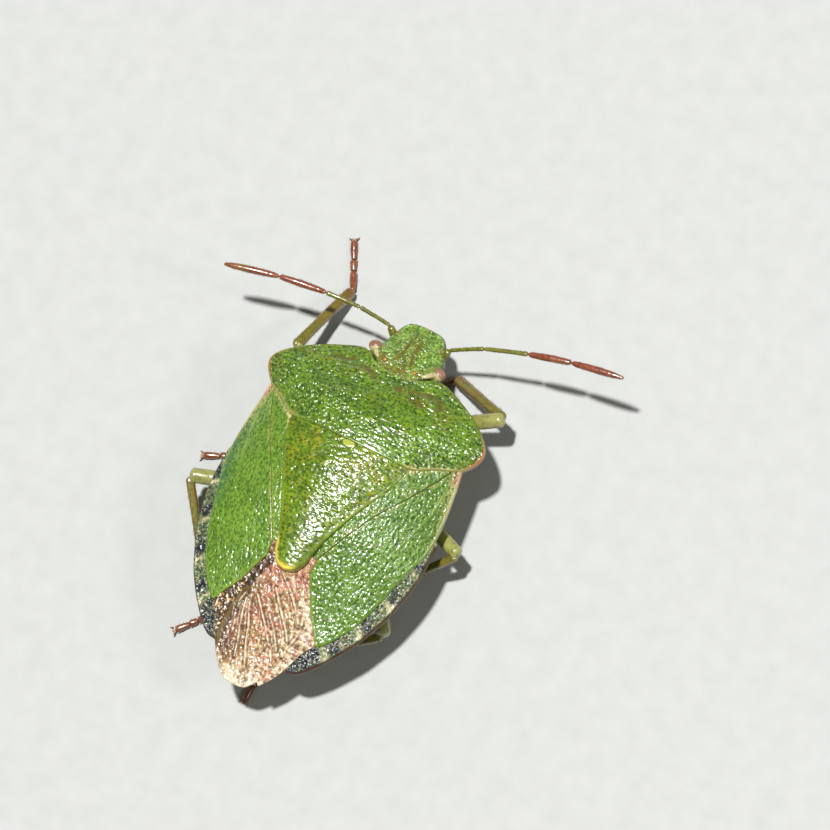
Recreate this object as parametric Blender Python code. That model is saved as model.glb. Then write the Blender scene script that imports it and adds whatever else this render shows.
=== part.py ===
"""Green shield bug, adult, life size, standing.

Metres, +Z up, head towards -Y, the insect's left towards +X. The feet stand on z = 0 and the
origin is the middle of the floor under the whole animal. Outlines are half outlines: (x, s)
pairs in millimetres, x out from the mid-line and s back from the front of the head.
"""

import math

import bmesh
import bpy
from mathutils import Vector
from mathutils.geometry import delaunay_2d_cdt

MM = 0.001

# Driving dimensions, in millimetres.
BODY_LENGTH = 13.0
PLATE = 0.5  # thickness of the wing and shield plates
GAP = 0.05  # clearance between neighbouring pieces
GRID = 0.4  # spacing of the points that carry the curved faces
HEAD_GRID = 0.22
PROFILE_STEP = 0.25  # spacing of the stations of a smoothed profile
LIMB_STEP = 0.9  # spacing of the rings of a limb
LEG_MIN = 0.5  # least thickness of a leg or a feeler
MARGIN_BEVEL = 0.12  # how far the rim of a plate drops at its edge
ORIGIN_S = 5.489  # distance behind the head's front of the floor point used as origin
ORIGIN_X = -0.034  # its distance to the insect's left
CREASE = 40  # degrees between faces above which an edge is shaded sharp

# Heights over the floor along the body: (s, height) stations, joined by smooth curves.
RIDGE = [(0, 2.4), (0.6, 2.78), (1.2, 3.06), (1.9, 3.3), (2.4, 3.58), (3.1, 4.02), (3.9, 4.4),
         (4.7, 4.55), (6, 4.5), (7.6, 4.2), (9.2, 3.68), (10.6, 3.25), (12, 2.88), (13, 2.66)]
EDGE = [(0, 2.3), (1, 2.52), (1.55, 2.92), (2.5, 3.16), (3.2, 3.36), (4, 3.22), (5, 3.1),
        (6.5, 2.98), (9, 2.95), (11, 2.9), (12, 2.76), (13, 2.6)]
KEEL = [(0, 1.95), (0.8, 1.8), (1.7, 1.7), (2.4, 1.4), (3.4, 1.2), (6, 1.12), (8, 1.1),
        (9.5, 1.22), (10.6, 1.5), (11.5, 1.95), (12.1, 2.3)]
HALF_WIDTH = [(0, 0.8), (0.9, 1.03), (1.35, 1.35), (1.8, 2.1), (2.5, 3.3), (3.2, 3.84),
              (4, 3.55), (5, 3.65), (7.3, 3.82), (8.6, 3.62), (9.8, 3.2), (10.9, 2.58),
              (11.7, 1.9), (12.1, 1.5), (13, 0.9)]
BACK_ROUNDNESS = 2.2  # power of the back's cross-section: 2 is a parabola
BELLY_ROUNDNESS = 1.4
RIM_DEPTH = 0.2  # thickness of the body's rim under the plates
SHIELD_LIFT = 0.03  # how far the scutellum stands over the wings
SIDE_DROP = 0.04  # how far the abdomen's side strips lie below them

# Half outlines.
HEAD = [[(0, 0), (0.38, 0.01), (0.62, 0.1), (0.8, 0.32), (0.93, 0.62), (1.06, 0.98),
         (1.12, 1.3), (1.0, 1.56), (0.84, 1.72), (0.56, 1.86), (0, 1.9)]]
PRONOTUM = [[(0, 1.96), (0.5, 1.93), (0.86, 1.79), (1.1, 1.62), (1.36, 1.52)],
            [(1.36, 1.52), (1.66, 1.57), (2.12, 1.77), (2.64, 2.02), (3.1, 2.3), (3.47, 2.6),
             (3.73, 2.9), (3.84, 3.18), (3.79, 3.43), (3.65, 3.66), (3.42, 3.92)],
            [(3.42, 3.92), (3.15, 4.08), (2.75, 4.3), (2.4, 4.56), (2.12, 4.7), (1.8, 4.73)],
            [(1.8, 4.73), (0, 4.73)]]
SCUTELLUM_SIDE = [(2.1, 4.82), (1.95, 5.35), (1.64, 6.1), (1.23, 6.95), (0.84, 7.85),
                  (0.64, 8.45)]
SCUTELLUM = [[(0, 4.78), (2.1, 4.78)], SCUTELLUM_SIDE,
             [(0.64, 8.45), (0.54, 8.82), (0.32, 9.14), (0, 9.25)]]
WING_BASE = [(2.16, 4.76), (2.42, 4.62), (2.78, 4.36), (3.1, 4.17)]
SUTURE = [(3.17, 4.14), (2.9, 4.72), (2.52, 5.46), (1.88, 6.5), (1.34, 7.5), (0.78, 8.55)]
COSTA = [(3.46, 3.98), (3.56, 4.7), (3.65, 5.6), (3.67, 6.3), (3.6, 6.9), (3.45, 7.4),
         (3.3, 7.95), (3.1, 8.7), (2.83, 9.5), (2.45, 10.2), (2.15, 10.62), (1.88, 10.88)]
WING_TIP_EDGE = [(1.82, 10.86), (1.6, 10.5), (1.3, 10.08), (1.02, 9.52), (0.76, 8.98)]
SIDE_MARGIN = [(3.74, 6.4), (3.76, 7.2), (3.7, 7.93), (3.56, 8.58), (3.38, 9.2),
               (3.13, 9.78), (2.88, 10.3), (2.52, 10.85), (2.17, 11.32), (1.84, 11.68),
               (1.58, 11.88), (1.3, 11.94)]
MEMBRANE_SIDE = [(1.77, 10.95), (1.52, 11.3), (1.36, 11.7), (1.2, 12.02), (0.98, 12.38),
                 (0.7, 12.72), (0.4, 12.94), (0, BODY_LENGTH)]
MEMBRANE_RIM_END = 12  # s where the side strips stop following the wing tips
MEMBRANE_OVERLAP = [(0.36, 9.2), (0.75, 9.9), (1.0, 10.7), (1.02, 11.4), (0.84, 12.1),
                    (0.6, 12.66)]  # inner edge of the upper wing tip, on the right side
UPPER_TIP = (-0.32, 12.95)
LOBE_GAP = [(0.6, 8.93), (0.38, 9.2), (0, 9.31), (-0.36, 9.2)]
CORE = [[(0, 2.02), (0.9, 2.0), (1.5, 1.9), (2.1, 2.08), (2.75, 2.4), (3.2, 2.75), (3.5, 3.1),
         (3.46, 3.5), (3.3, 4), (3.4, 5), (3.5, 6.4), (3.56, 7.3), (3.38, 8.6), (2.98, 9.75),
         (2.38, 10.8), (1.7, 11.6), (0.9, 11.95), (0, 12.02)]]
CORE_BEVEL = 0.1
PROTHORAX_END = 3.62  # s of the cuts through the body below the plates
THORAX_END = 6.1

HEAD_BEVEL_WIDTH = 0.3
HEAD_RIM = 0.3  # least thickness of the head, at its rim
CHEEK_WIDTH = 0.5  # of the strip along the head's underside that curves up to the rim
CHEEK_RISE = 0.45
EYE_CENTRE = (1.12, 1.3, 2.76)
EYE_RADII = (0.3, 0.25, 0.27)

# Legs: (x, s) of the coxa, then (x, s, height) of the knee, the ankle and the toe.
COXA_RADII = (0.42, 0.42, 0.3)
FEMUR_RADII = (0.25, 0.25, 0.27, 0.28, 0.26)
TIBIA_RADII = (0.25, 0.25, 0.27)
TARSUS_RADII = (0.25, 0.27, 0.25)
ANKLE_HEIGHT = 0.3
TOE_HEIGHT = 0.2  # of the foot's middle line, so that the sole is a flat on the floor
LEGS = {
    "fore_left": ((0.75, 2.9), (3.7, 2.2, 2.15), (3.36, -0.24), (4.03, -1.85)),
    "fore_right": ((-0.75, 2.9), (-3.36, 1.58, 2.1), (-1.2, 0.56), (-0.18, 1.4)),
    "mid_left": ((0.8, 4.6), (3.6, 3.3, 1.95), (3.86, 5.72), (5.1, 6.33)),
    "mid_right": ((-0.8, 4.6), (-4.12, 5.95, 1.95), (-2.62, 8.1), (-2.5, 9.4)),
    "hind_left": ((0.86, 6.0), (4.56, 7.42, 2.05), (2.45, 10.85), (3.26, 11.78)),
    "hind_right": ((-0.86, 6.0), (-3.24, 9.38, 1.58), (-0.15, 11.45), (0.18, 12.84)),
}

# Feelers: the joints of the five segments, from the head out.
FEELERS = {
    "left": [(0.82, 0.74, 2.04), (1.14, 0.43, 2.42), (2.16, 0.4, 2.86), (3.3, 0.48, 3.1),
             (4.85, 0.69, 3.3), (6.6, 1.1, 3.45)],
    "right": [(-0.74, 0.72, 2.04), (-0.96, 0.36, 2.42), (-2.06, -0.06, 2.86),
              (-3.48, -0.45, 3.1), (-4.91, -0.74, 3.3), (-6.68, -0.96, 3.45)],
}
FEELER_RADIUS = LEG_MIN / 2
LIMB_SIDES = 8
DOME = 0.5  # of the radius: how far a rounded end stands out
DOME_WAIST = 0.6  # of the radius: the width of its last ring
BEAK = [(0, 0.55, 1.49), (0, 1.6, 1.34), (0, 2.5, 0.98), (0, 3.6, 0.84), (0, 4.9, 0.8)]
BEAK_RADIUS = 0.26

GREEN = (0.16, 0.3, 0.05)
COLOURS = {  # of each material, and its roughness
    "shell_green": (GREEN, 0.4),
    "shield_green": ((0.22, 0.31, 0.06), 0.4),
    "belly_green": ((0.3, 0.42, 0.16), 0.5),
    "margin_bronze": ((0.12, 0.1, 0.07), 0.4),
    "wing_bronze": ((0.33, 0.17, 0.1), 0.3),
    "eye_brown": ((0.35, 0.16, 0.12), 0.3),
    "leg_olive": ((0.27, 0.27, 0.07), 0.45),
    "foot_red": ((0.33, 0.12, 0.05), 0.45),
    "feeler_red": ((0.4, 0.12, 0.06), 0.45),
}


def clear_scene():
    for obj in list(bpy.data.objects):
        bpy.data.objects.remove(obj, do_unlink=True)


def material(name):
    """The Principled material of that name, made on its first use."""
    if name in bpy.data.materials:
        return bpy.data.materials[name]
    colour, roughness = COLOURS[name]
    made = bpy.data.materials.new(name)
    made.use_nodes = True
    shader = made.node_tree.nodes["Principled BSDF"]
    shader.inputs["Base Color"].default_value = (*colour, 1)
    shader.inputs["Roughness"].default_value = roughness
    shader.inputs["Metallic"].default_value = 0
    return made


def smooth_run(points, step):
    """Points about step apart along a Catmull-Rom curve through the given points."""
    points = [Vector(point) for point in points]
    ends = [points[0] * 2 - points[1]] + points + [points[-1] * 2 - points[-2]]
    out = [points[0]]
    for p0, p1, p2, p3 in zip(ends, ends[1:], ends[2:], ends[3:]):
        count = max(1, round((p2 - p1).length / step))
        for i in range(1, count + 1):
            t = i / count
            out.append(0.5 * (2 * p1 + (p2 - p0) * t + (2 * p0 - 5 * p1 + 4 * p2 - p3) * t ** 2
                              + (3 * p1 - p0 - 3 * p2 + p3) * t ** 3))
    return out


def along(stations, s):
    """The value at s between (s, value) stations."""
    for (s0, v0), (s1, v1) in zip(stations, stations[1:]):
        if s <= s1:
            t = min(1, max(0, (s - s0) / (s1 - s0)))
            return v0 + (v1 - v0) * t
    return stations[-1][1]


def smoothed(stations):
    """The stations with the corners between them rounded."""
    return [tuple(point) for point in smooth_run(stations, PROFILE_STEP)]


RIDGE_LINE, EDGE_LINE, KEEL_LINE, WIDTH_LINE = map(smoothed, (RIDGE, EDGE, KEEL, HALF_WIDTH))


def across(x, s):
    """How far out a point lies: 0 on the mid-line, 1 at the widest."""
    return min(1, abs(x) / along(WIDTH_LINE, s))


def back(x, s):
    """Height of the insect's back."""
    edge = along(EDGE_LINE, s)
    return edge + (along(RIDGE_LINE, s) - edge) * (1 - across(x, s) ** BACK_ROUNDNESS)


def belly(x, s):
    """Height of the insect's underside."""
    keel = along(KEEL_LINE, s)
    rim = along(EDGE_LINE, s) - PLATE - GAP - RIM_DEPTH
    return keel + max(0, rim - keel) * across(x, s) ** BELLY_ROUNDNESS


def half_outline(runs, step=GRID):
    """One polyline along the runs of a half outline, without doubled corners."""
    out = []
    for run in runs:
        points = smooth_run(run, step)
        if out and (points[0] - out[-1]).length < GAP / 2:
            points = points[1:]
        out += points
    return out


def mirrored(half):
    """The closed outline of a half outline that starts and ends on the mid-line."""
    return half + [Vector((-p.x, p.y)) for p in reversed(half[1:-1])]


def inside(outline, point):
    hit = False
    for a, b in zip(outline, outline[1:] + outline[:1]):
        if (a.y > point.y) != (b.y > point.y):
            if point.x < a.x + (point.y - a.y) / (b.y - a.y) * (b.x - a.x):
                hit = not hit
    return hit


def clearance(outline, point):
    """The distance from a point to the outline."""
    best = math.inf
    for a, b in zip(outline, outline[1:] + outline[:1]):
        along_edge = b - a
        t = min(1, max(0, (point - a).dot(along_edge) / along_edge.length_squared))
        best = min(best, (a + along_edge * t - point).length)
    return best


def grid_inside(outline, step):
    """Points of a triangular grid that lie inside the outline and clear of it."""
    low_x, high_x = min(p.x for p in outline), max(p.x for p in outline)
    low_s, high_s = min(p.y for p in outline), max(p.y for p in outline)
    points = []
    row_height = step * math.sqrt(3) / 2
    for row in range(int((high_s - low_s) / row_height) + 1):
        s = low_s + row * row_height
        middle = (low_x + high_x) / 2 + (row % 2) * step / 2
        reach = int((high_x - low_x) / 2 / step) + 1
        for column in range(-reach, reach + 1):
            point = Vector((middle + column * step, s))
            if inside(outline, point) and clearance(outline, point) > 0.55 * step:
                points.append(point)
    return points


def place(x, s, z):
    """World place, in metres, of a point given in millimetres of the body."""
    return Vector(((x - ORIGIN_X) * MM, (s - ORIGIN_S) * MM, z * MM))


def finish(bm, name, finish_name):
    """Makes one node of a bmesh in world metres."""
    bmesh.ops.recalc_face_normals(bm, faces=bm.faces)
    mesh = bpy.data.meshes.new(name)
    bm.to_mesh(mesh)
    bm.free()
    mesh.materials.append(material(finish_name))
    mesh.shade_smooth()
    mesh.set_sharp_from_angle(angle=math.radians(CREASE))
    obj = bpy.data.objects.new(name, mesh)
    bpy.context.scene.collection.objects.link(obj)
    return obj


def slab(name, outline, top, bottom, finish_name, step=GRID):
    """A closed piece between two curved faces, over an outline in the (x, s) plane."""
    points = outline + grid_inside(outline, step)
    rim = len(outline)
    edges = [(i, (i + 1) % rim) for i in range(rim)]
    flat, _, faces = delaunay_2d_cdt(points, edges, [], 1, 1e-4)[:3]
    bm = bmesh.new()
    upper = [bm.verts.new(place(p.x, p.y, top(p.x, p.y))) for p in flat]
    lower = [bm.verts.new(place(p.x, p.y, bottom(p.x, p.y))) for p in flat]
    directed = set()
    for face in faces:
        bm.faces.new([upper[i] for i in face])
        bm.faces.new([lower[i] for i in reversed(face)])
        directed |= set(zip(face, face[1:] + face[:1]))
    for a, b in sorted(directed):
        if (b, a) not in directed:
            bm.faces.new((upper[b], upper[a], lower[a], lower[b]))
    return finish(bm, name, finish_name)


def plate(name, outline, finish_name, lift=0):
    """A shell plate of even thickness that follows the back, with its rim turned down."""
    def top(x, s):
        near = max(0, 1 - clearance(outline, Vector((x, s))) / GRID)
        return back(x, s) + lift - MARGIN_BEVEL * near ** 2

    def bottom(x, s):
        return back(x, s) + lift - PLATE

    return slab(name, outline, top, bottom, finish_name)


def ring_at(bm, centre, ahead, lean, radius, floor):
    """One ring of a limb, square to its run or mitred to a lean."""
    side = Vector((-ahead.y, ahead.x, 0)).normalized()
    up = ahead.cross(side)
    ring = []
    for k in range(LIMB_SIDES):
        turn = 2 * math.pi * (k + 0.5) / LIMB_SIDES
        spoke = (side * math.cos(turn) + up * math.sin(turn)) * radius
        point = centre + spoke - ahead * (spoke.dot(lean) / ahead.dot(lean))
        if floor:
            point.z = max(0, point.z)
        ring.append(bm.verts.new(place(*point)))
    return ring


def limb(name, points, radii, finish_name, leans=(None, None), domes=(False, True), floor=False):
    """A closed tapering tube through (x, s, z) points.

    A lean is the direction that an end face looks along, where it is mitred to its neighbour,
    and a dome rounds an end off. With floor, the tube stands on z = 0 and is flat underneath.
    """
    path = smooth_run(points, LIMB_STEP)
    last = len(path) - 1
    bm = bmesh.new()
    rings = []
    for i, centre in enumerate(path):
        ahead = (path[min(i + 1, last)] - path[max(i - 1, 0)]).normalized()
        lean = {0: leans[0], last: leans[1]}.get(i) or ahead
        station = i / last * (len(radii) - 1)
        low = min(int(station), len(radii) - 2)
        radius = radii[low] + (radii[low + 1] - radii[low]) * (station - low)
        if i == 0 and domes[0]:
            rings.append(ring_at(bm, centre - ahead * radius * DOME, ahead, ahead,
                                 radius * DOME_WAIST, floor))
        rings.append(ring_at(bm, centre, ahead, lean, radius, floor))
        if i == last and domes[1]:
            rings.append(ring_at(bm, centre + ahead * radius * DOME, ahead, ahead,
                                 radius * DOME_WAIST, floor))
    for one, two in zip(rings, rings[1:]):
        for k in range(LIMB_SIDES):
            after = (k + 1) % LIMB_SIDES
            bm.faces.new((one[k], one[after], two[after], two[k]))
    bm.faces.new(rings[0])
    bm.faces.new(rings[-1][::-1])
    return finish(bm, name, finish_name)


def mitre(before, joint, after):
    """The direction halfway between those of two lengths that meet at a joint."""
    before, joint, after = Vector(before), Vector(joint), Vector(after)
    return ((joint - before).normalized() + (after - joint).normalized()).normalized()


def ellipsoid(name, centre, radii, finish_name, columns=14, rows=9):
    bm = bmesh.new()
    bmesh.ops.create_uvsphere(bm, u_segments=columns, v_segments=rows, radius=1)
    for vert in bm.verts:
        vert.co = place(*(c + r * v for c, r, v in zip(centre, radii, vert.co)))
    return finish(bm, name, finish_name)


def cut(obj, cutter):
    """Takes the cutter's volume out of an object."""
    cutter.hide_render = True
    cutter.display_type = "WIRE"
    boolean = obj.modifiers.new(cutter.name, "BOOLEAN")
    boolean.operation = "DIFFERENCE"
    boolean.object = cutter


def shifted(start, end, distance):
    """The start point moved towards the end by a distance."""
    start, end = Vector(start), Vector(end)
    return start + (end - start).normalized() * distance


def make_head():
    outline = mirrored(half_outline(HEAD, HEAD_GRID))

    def top(x, s):
        near = max(0, 1 - clearance(outline, Vector((x, s))) / HEAD_BEVEL_WIDTH)
        return back(x, s) - MARGIN_BEVEL * near ** 2

    def bottom(x, s):
        near = max(0, 1 - clearance(outline, Vector((x, s))) / CHEEK_WIDTH)
        keel = along(KEEL_LINE, s)
        return min(keel + CHEEK_RISE * near ** 2, back(x, s) - HEAD_RIM)

    head = slab("head", outline, top, bottom, "shell_green", step=HEAD_GRID)
    for side, label in ((1, "left"), (-1, "right")):
        centre = (side * EYE_CENTRE[0], EYE_CENTRE[1], EYE_CENTRE[2])
        ellipsoid("eye_" + label, centre, EYE_RADII, "eye_brown")
        socket = [radius + GAP for radius in EYE_RADII]
        cut(head, ellipsoid("socket_" + label, centre, socket, "eye_brown"))
        root, elbow = FEELERS[label][:2]
        reach = [shifted(root, elbow, -GAP), shifted(elbow, root, -FEELER_RADIUS)]
        notch = limb("notch_" + label, reach, [FEELER_RADIUS + GAP] * 2, "feeler_red",
                     domes=(False, False))
        cut(head, notch)


def make_feelers():
    for label, joints in FEELERS.items():
        leans = [None] + [mitre(*three) for three in zip(joints, joints[1:], joints[2:])] + [None]
        count = len(joints) - 1
        for number in range(1, count + 1):
            start, end = joints[number - 1:number + 1]
            finish_name = "feeler_red" if number > 3 else "leg_olive"
            limb(f"antenna_{label}_{number}",
                 [shifted(start, end, GAP / 2), shifted(end, start, GAP / 2)],
                 [FEELER_RADIUS, FEELER_RADIUS], finish_name, leans[number - 1:number + 1],
                 domes=(False, number == count))


def make_plates():
    plate("pronotum", mirrored(half_outline(PRONOTUM)), "shell_green")
    plate("scutellum", mirrored(half_outline(SCUTELLUM)), "shield_green", lift=SHIELD_LIFT)


def wing_outlines():
    """Outlines of the two hard fields of a forewing and of the strip beside the abdomen."""
    inner = [(x + GAP, s) for x, s in SCUTELLUM_SIDE]
    clavus = half_outline([WING_BASE, [(x - GAP / 2, s) for x, s in SUTURE],
                           list(reversed(inner))])
    corium = half_outline([[(x + GAP / 2, s) for x, s in SUTURE], list(reversed(WING_TIP_EDGE)),
                           list(reversed(COSTA))])
    lower_costa = [(x + GAP, s) for x, s in COSTA[3:]]
    tip_side = [(x + GAP, s) for x, s in MEMBRANE_SIDE if s < MEMBRANE_RIM_END]
    side = half_outline([SIDE_MARGIN, list(reversed(tip_side)), list(reversed(lower_costa))])
    return clavus, corium, side


def make_wings():
    clavus, corium, side = wing_outlines()
    for sign, label in ((1, "left"), (-1, "right")):
        def on_side(outline):
            return [Vector((sign * p.x, p.y)) for p in outline]

        plate("clavus_" + label, on_side(clavus), "shell_green")
        plate("corium_" + label, on_side(corium), "shell_green")
        plate("connexivum_" + label, on_side(side), "margin_bronze", lift=-SIDE_DROP)


def make_membranes():
    """The wing tips: the left one lies over the right one and shows almost whole."""
    base = [(x - GAP, s + GAP) for x, s in WING_TIP_EDGE]
    over = [(-x, s) for x, s in MEMBRANE_OVERLAP]
    tip = [over[-1], UPPER_TIP, (0, BODY_LENGTH)]
    left = half_outline([base, LOBE_GAP, over, tip, MEMBRANE_SIDE[::-1]])
    plate("membrane_left", left, "wing_bronze")
    under = [(x - GAP, s) for x, s in over[1:-1]]
    right_base = [(-x, s) for x, s in base[::-1]]
    right_side = [(-x, s) for x, s in MEMBRANE_SIDE[:-2]]
    right = half_outline([right_base, right_side, under[::-1]])
    plate("membrane_right", right, "wing_bronze")


def make_core():
    """The body under the plates, in three lengths: fore thorax, rear thorax and abdomen."""
    half = half_outline(CORE)
    whole = mirrored(half)
    cuts = [0, PROTHORAX_END, THORAX_END, BODY_LENGTH]
    names = ["prothorax", "pterothorax", "abdomen"]

    def top(x, s):
        near = max(0, 1 - clearance(whole, Vector((x, s))) / GRID)
        return back(x, s) - PLATE - 2 * GAP - CORE_BEVEL * near ** 2

    def bottom(x, s):
        return min(belly(x, s), top(x, s) - RIM_DEPTH)

    for name, start, end in zip(names, cuts, cuts[1:]):
        kept = [p for p in half if start + GAP / 2 < p.y < end - GAP / 2]
        if start > 0:
            kept = across_line(half, start + GAP / 2) + kept
        if end < BODY_LENGTH:
            kept = kept + across_line(half, end - GAP / 2)[::-1]
        slab(name, mirrored(kept), top, bottom, "belly_green")


def across_line(half, s):
    """Points of a straight cut from the mid-line out to the outline at s."""
    for a, b in zip(half, half[1:]):
        if a.x > 1 and b.y > s >= a.y:
            reach = a.x + (b.x - a.x) * (s - a.y) / (b.y - a.y)
            count = round(reach / GRID)
            return [Vector((reach * i / count, s)) for i in range(count + 1)]
    return []


def knee_clearance(base, knee, ankle):
    """How far down the shin starts, so that a tightly bent knee stays clear of the thigh."""
    thigh = (base - knee).normalized()
    shin = (ankle - knee).normalized()
    cosine = max(0, thigh.dot(shin))
    return (FEMUR_RADII[-1] + GAP + TIBIA_RADII[0] * cosine) / thigh.cross(shin).length


def make_legs():
    for label, ((x, s), knee, ankle, toe) in LEGS.items():
        hip = Vector((x, s, belly(x, s) - GAP - COXA_RADII[2]))
        knee = Vector(knee)
        ankle = Vector((*ankle, ANKLE_HEIGHT))
        toe = Vector((*toe, TOE_HEIGHT))
        ellipsoid("coxa_" + label, hip, COXA_RADII, "leg_olive", 12, 8)
        base = shifted(hip, knee, COXA_RADII[0] + GAP)
        limb("femur_" + label, [base, knee], FEMUR_RADII, "leg_olive")
        lean = mitre(knee, ankle, toe)
        shin_top = shifted(knee, ankle, knee_clearance(base, knee, ankle))
        limb("tibia_" + label, [shin_top, shifted(ankle, knee, GAP / 2)], TIBIA_RADII,
             "leg_olive", (None, lean), domes=(False, False))
        limb("tarsus_" + label, [shifted(ankle, toe, GAP / 2), toe], TARSUS_RADII, "foot_red",
             (lean, None), floor=True)


def make_beak():
    limb("rostrum", BEAK, [BEAK_RADIUS, BEAK_RADIUS, LEG_MIN / 2], "leg_olive")


clear_scene()
make_head()
make_feelers()
make_plates()
make_wings()
make_membranes()
make_core()
make_legs()
make_beak()
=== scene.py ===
# %% [markdown]
# # A green shield bug, standing, life size
#
# A shield bug wears its skeleton outside. Thirteen millimetres of body are covered by a few hard
# plates: a head shield, the broad pronotum behind it, the long triangular scutellum, and the
# leathery forewings, whose thin brown tips fold one over the other. This lesson builds each
# plate as its own piece, pitted and wrinkled in real geometry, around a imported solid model.
#
# Everything below is in millimetres of the body: x runs to the insect's left, s runs back from
# the front of its head, and z runs up from the floor that it stands on.

# %% Load the solid model
import math

import bmesh
import bpy
import numpy as np
from mathutils import Matrix, Vector, kdtree
from mathutils.geometry import delaunay_2d_cdt


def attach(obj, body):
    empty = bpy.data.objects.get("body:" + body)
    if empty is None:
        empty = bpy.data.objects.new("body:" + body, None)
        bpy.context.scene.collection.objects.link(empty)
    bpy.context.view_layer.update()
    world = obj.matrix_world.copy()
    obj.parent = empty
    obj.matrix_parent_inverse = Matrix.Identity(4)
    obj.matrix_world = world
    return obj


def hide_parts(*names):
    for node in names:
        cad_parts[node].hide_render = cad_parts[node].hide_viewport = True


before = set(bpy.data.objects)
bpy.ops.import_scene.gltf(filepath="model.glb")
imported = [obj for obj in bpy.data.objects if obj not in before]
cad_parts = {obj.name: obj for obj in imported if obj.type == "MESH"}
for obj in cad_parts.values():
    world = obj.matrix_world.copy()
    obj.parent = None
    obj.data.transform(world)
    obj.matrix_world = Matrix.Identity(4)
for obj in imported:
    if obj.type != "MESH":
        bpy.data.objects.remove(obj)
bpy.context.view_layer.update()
MM = 0.001
BODY_LENGTH = 13.0
ORIGIN = np.array([-0.034, 5.489, 0])

# %% [markdown]
# ## Camera
#
# The view looks down on the insect from above its right shoulder, with a long lens, so that
# hardly any perspective shows. Such a camera is easiest to place from three facts: the
# direction it looks in, how far its picture is turned, and how many pixels a millimetre takes.

# %% Place the camera
IMAGE_SIDE = 830
PIXELS_PER_MM = 31.83
SENSOR = 36.0
CAMERA_DISTANCE = 400.0
look = Vector((0.27, -0.195, -0.943)).normalized()
roll = math.radians(28.2)
known_point = Vector((0, 0.948, 3.0))
known_pixel = (411.27, 348.7)

ahead = Vector((0, -1, 0))
level_up = (ahead - look * ahead.dot(look)).normalized()
level_side = look.cross(level_up)
picture_right = level_up * math.sin(roll) + level_side * math.cos(roll)
picture_up = level_up * math.cos(roll) - level_side * math.sin(roll)
half_side = IMAGE_SIDE / 2
aim = (known_point + picture_right * (half_side - known_pixel[0]) / PIXELS_PER_MM
       - picture_up * (half_side - known_pixel[1]) / PIXELS_PER_MM)
stand = (aim - look * CAMERA_DISTANCE - Vector(ORIGIN)) * MM

lens = bpy.data.cameras.new("camera")
lens.sensor_width = SENSOR
lens.lens = CAMERA_DISTANCE * SENSOR / (IMAGE_SIDE / PIXELS_PER_MM)
lens.clip_start = 0.01
lens.clip_end = 5
camera = bpy.data.objects.new("camera", lens)
axes = Matrix((picture_right, picture_up, -look)).transposed()
camera.matrix_world = Matrix.Translation(stand) @ axes.to_4x4()
bpy.context.scene.collection.objects.link(camera)
bpy.context.scene.camera = camera
print("lens of", round(lens.lens), "mm,", round(stand.z * 1000), "mm over the floor")

# %% [markdown]
# ## Studio
#
# Wrinkled cuticle is a field of tiny mirrors: each ridge throws its own glint of the lamp. A
# small bright lamp overhead gives those glints, and a side lamp and a pale room fill the shade.
# The view transform is set to Standard, which keeps strong greens as they are.

# %% Set up floor, lamps and room
LAMP_DISTANCE = 0.3
ROOM_COLOUR = (1.0, 0.97, 0.88, 1)
ROOM_STRENGTH = 0.17


def lamp(name, kind, toward, strength, **settings):
    """A light that shines on the insect from a direction, given as a vector towards it."""
    data = bpy.data.lights.new(name, kind)
    data.energy = strength
    for key, value in settings.items():
        setattr(data, key, value)
    obj = bpy.data.objects.new(name, data)
    toward = Vector(toward).normalized()
    obj.location = toward * LAMP_DISTANCE
    obj.rotation_mode = "QUATERNION"
    obj.rotation_quaternion = toward.to_track_quat("Z", "Y")
    bpy.context.scene.collection.objects.link(obj)


lamp("key_lamp", "SUN", toward=(0.01, 0.0, 1.0), strength=5.4, angle=math.radians(3))
lamp("side_lamp", "AREA", toward=(-0.7, -0.1, 0.7), strength=0.17, shape="DISK", size=0.055)

FLOOR_HALF = 0.9
floor_mesh = bpy.data.meshes.new("floor")
corners = [(-1, -1), (1, -1), (1, 1), (-1, 1)]
floor_mesh.from_pydata([(x * FLOOR_HALF, y * FLOOR_HALF, 0) for x, y in corners], [],
                       [(0, 1, 2, 3)])
floor = bpy.data.objects.new("floor", floor_mesh)
bpy.context.scene.collection.objects.link(floor)

room = bpy.data.worlds.new("room")
room.use_nodes = True
backdrop = room.node_tree.nodes["Background"]
backdrop.inputs["Color"].default_value = ROOM_COLOUR
backdrop.inputs["Strength"].default_value = ROOM_STRENGTH
bpy.context.scene.world = room
bpy.context.scene.view_settings.view_transform = "Standard"
print("a key lamp, a side lamp and a pale room")

# %% [markdown]
# ## Shader sums
#
# Blender's materials are graphs of nodes, and a graph is slow to write by hand. The class
# below wraps one output socket, so that `1 - pit * 0.8` adds the two Math nodes it stands for.

# %% A socket that can be used in sums
class Value:
    """A shader output. Each operator adds one Math node."""

    def __init__(self, paint, socket):
        self.paint = paint
        self.socket = socket

    def _sum(self, operation, first, second):
        return self.paint.node("ShaderNodeMath", {"operation": operation},
                               {0: first, 1: second})

    def __add__(self, other):
        return self._sum("ADD", self, other)

    def __radd__(self, other):
        return self._sum("ADD", other, self)

    def __sub__(self, other):
        return self._sum("SUBTRACT", self, other)

    def __rsub__(self, other):
        return self._sum("SUBTRACT", other, self)

    def __mul__(self, other):
        return self._sum("MULTIPLY", self, other)

    def __rmul__(self, other):
        return self._sum("MULTIPLY", other, self)


print("sockets can be added, subtracted and multiplied")

# %% [markdown]
# A paint is a material with a Principled shader. It measures its patterns in millimetres of the
# insect, and reads the fields that the geometry stores on its points, such as how deep a point
# lies in a pit, so that colour and relief always agree.

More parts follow.
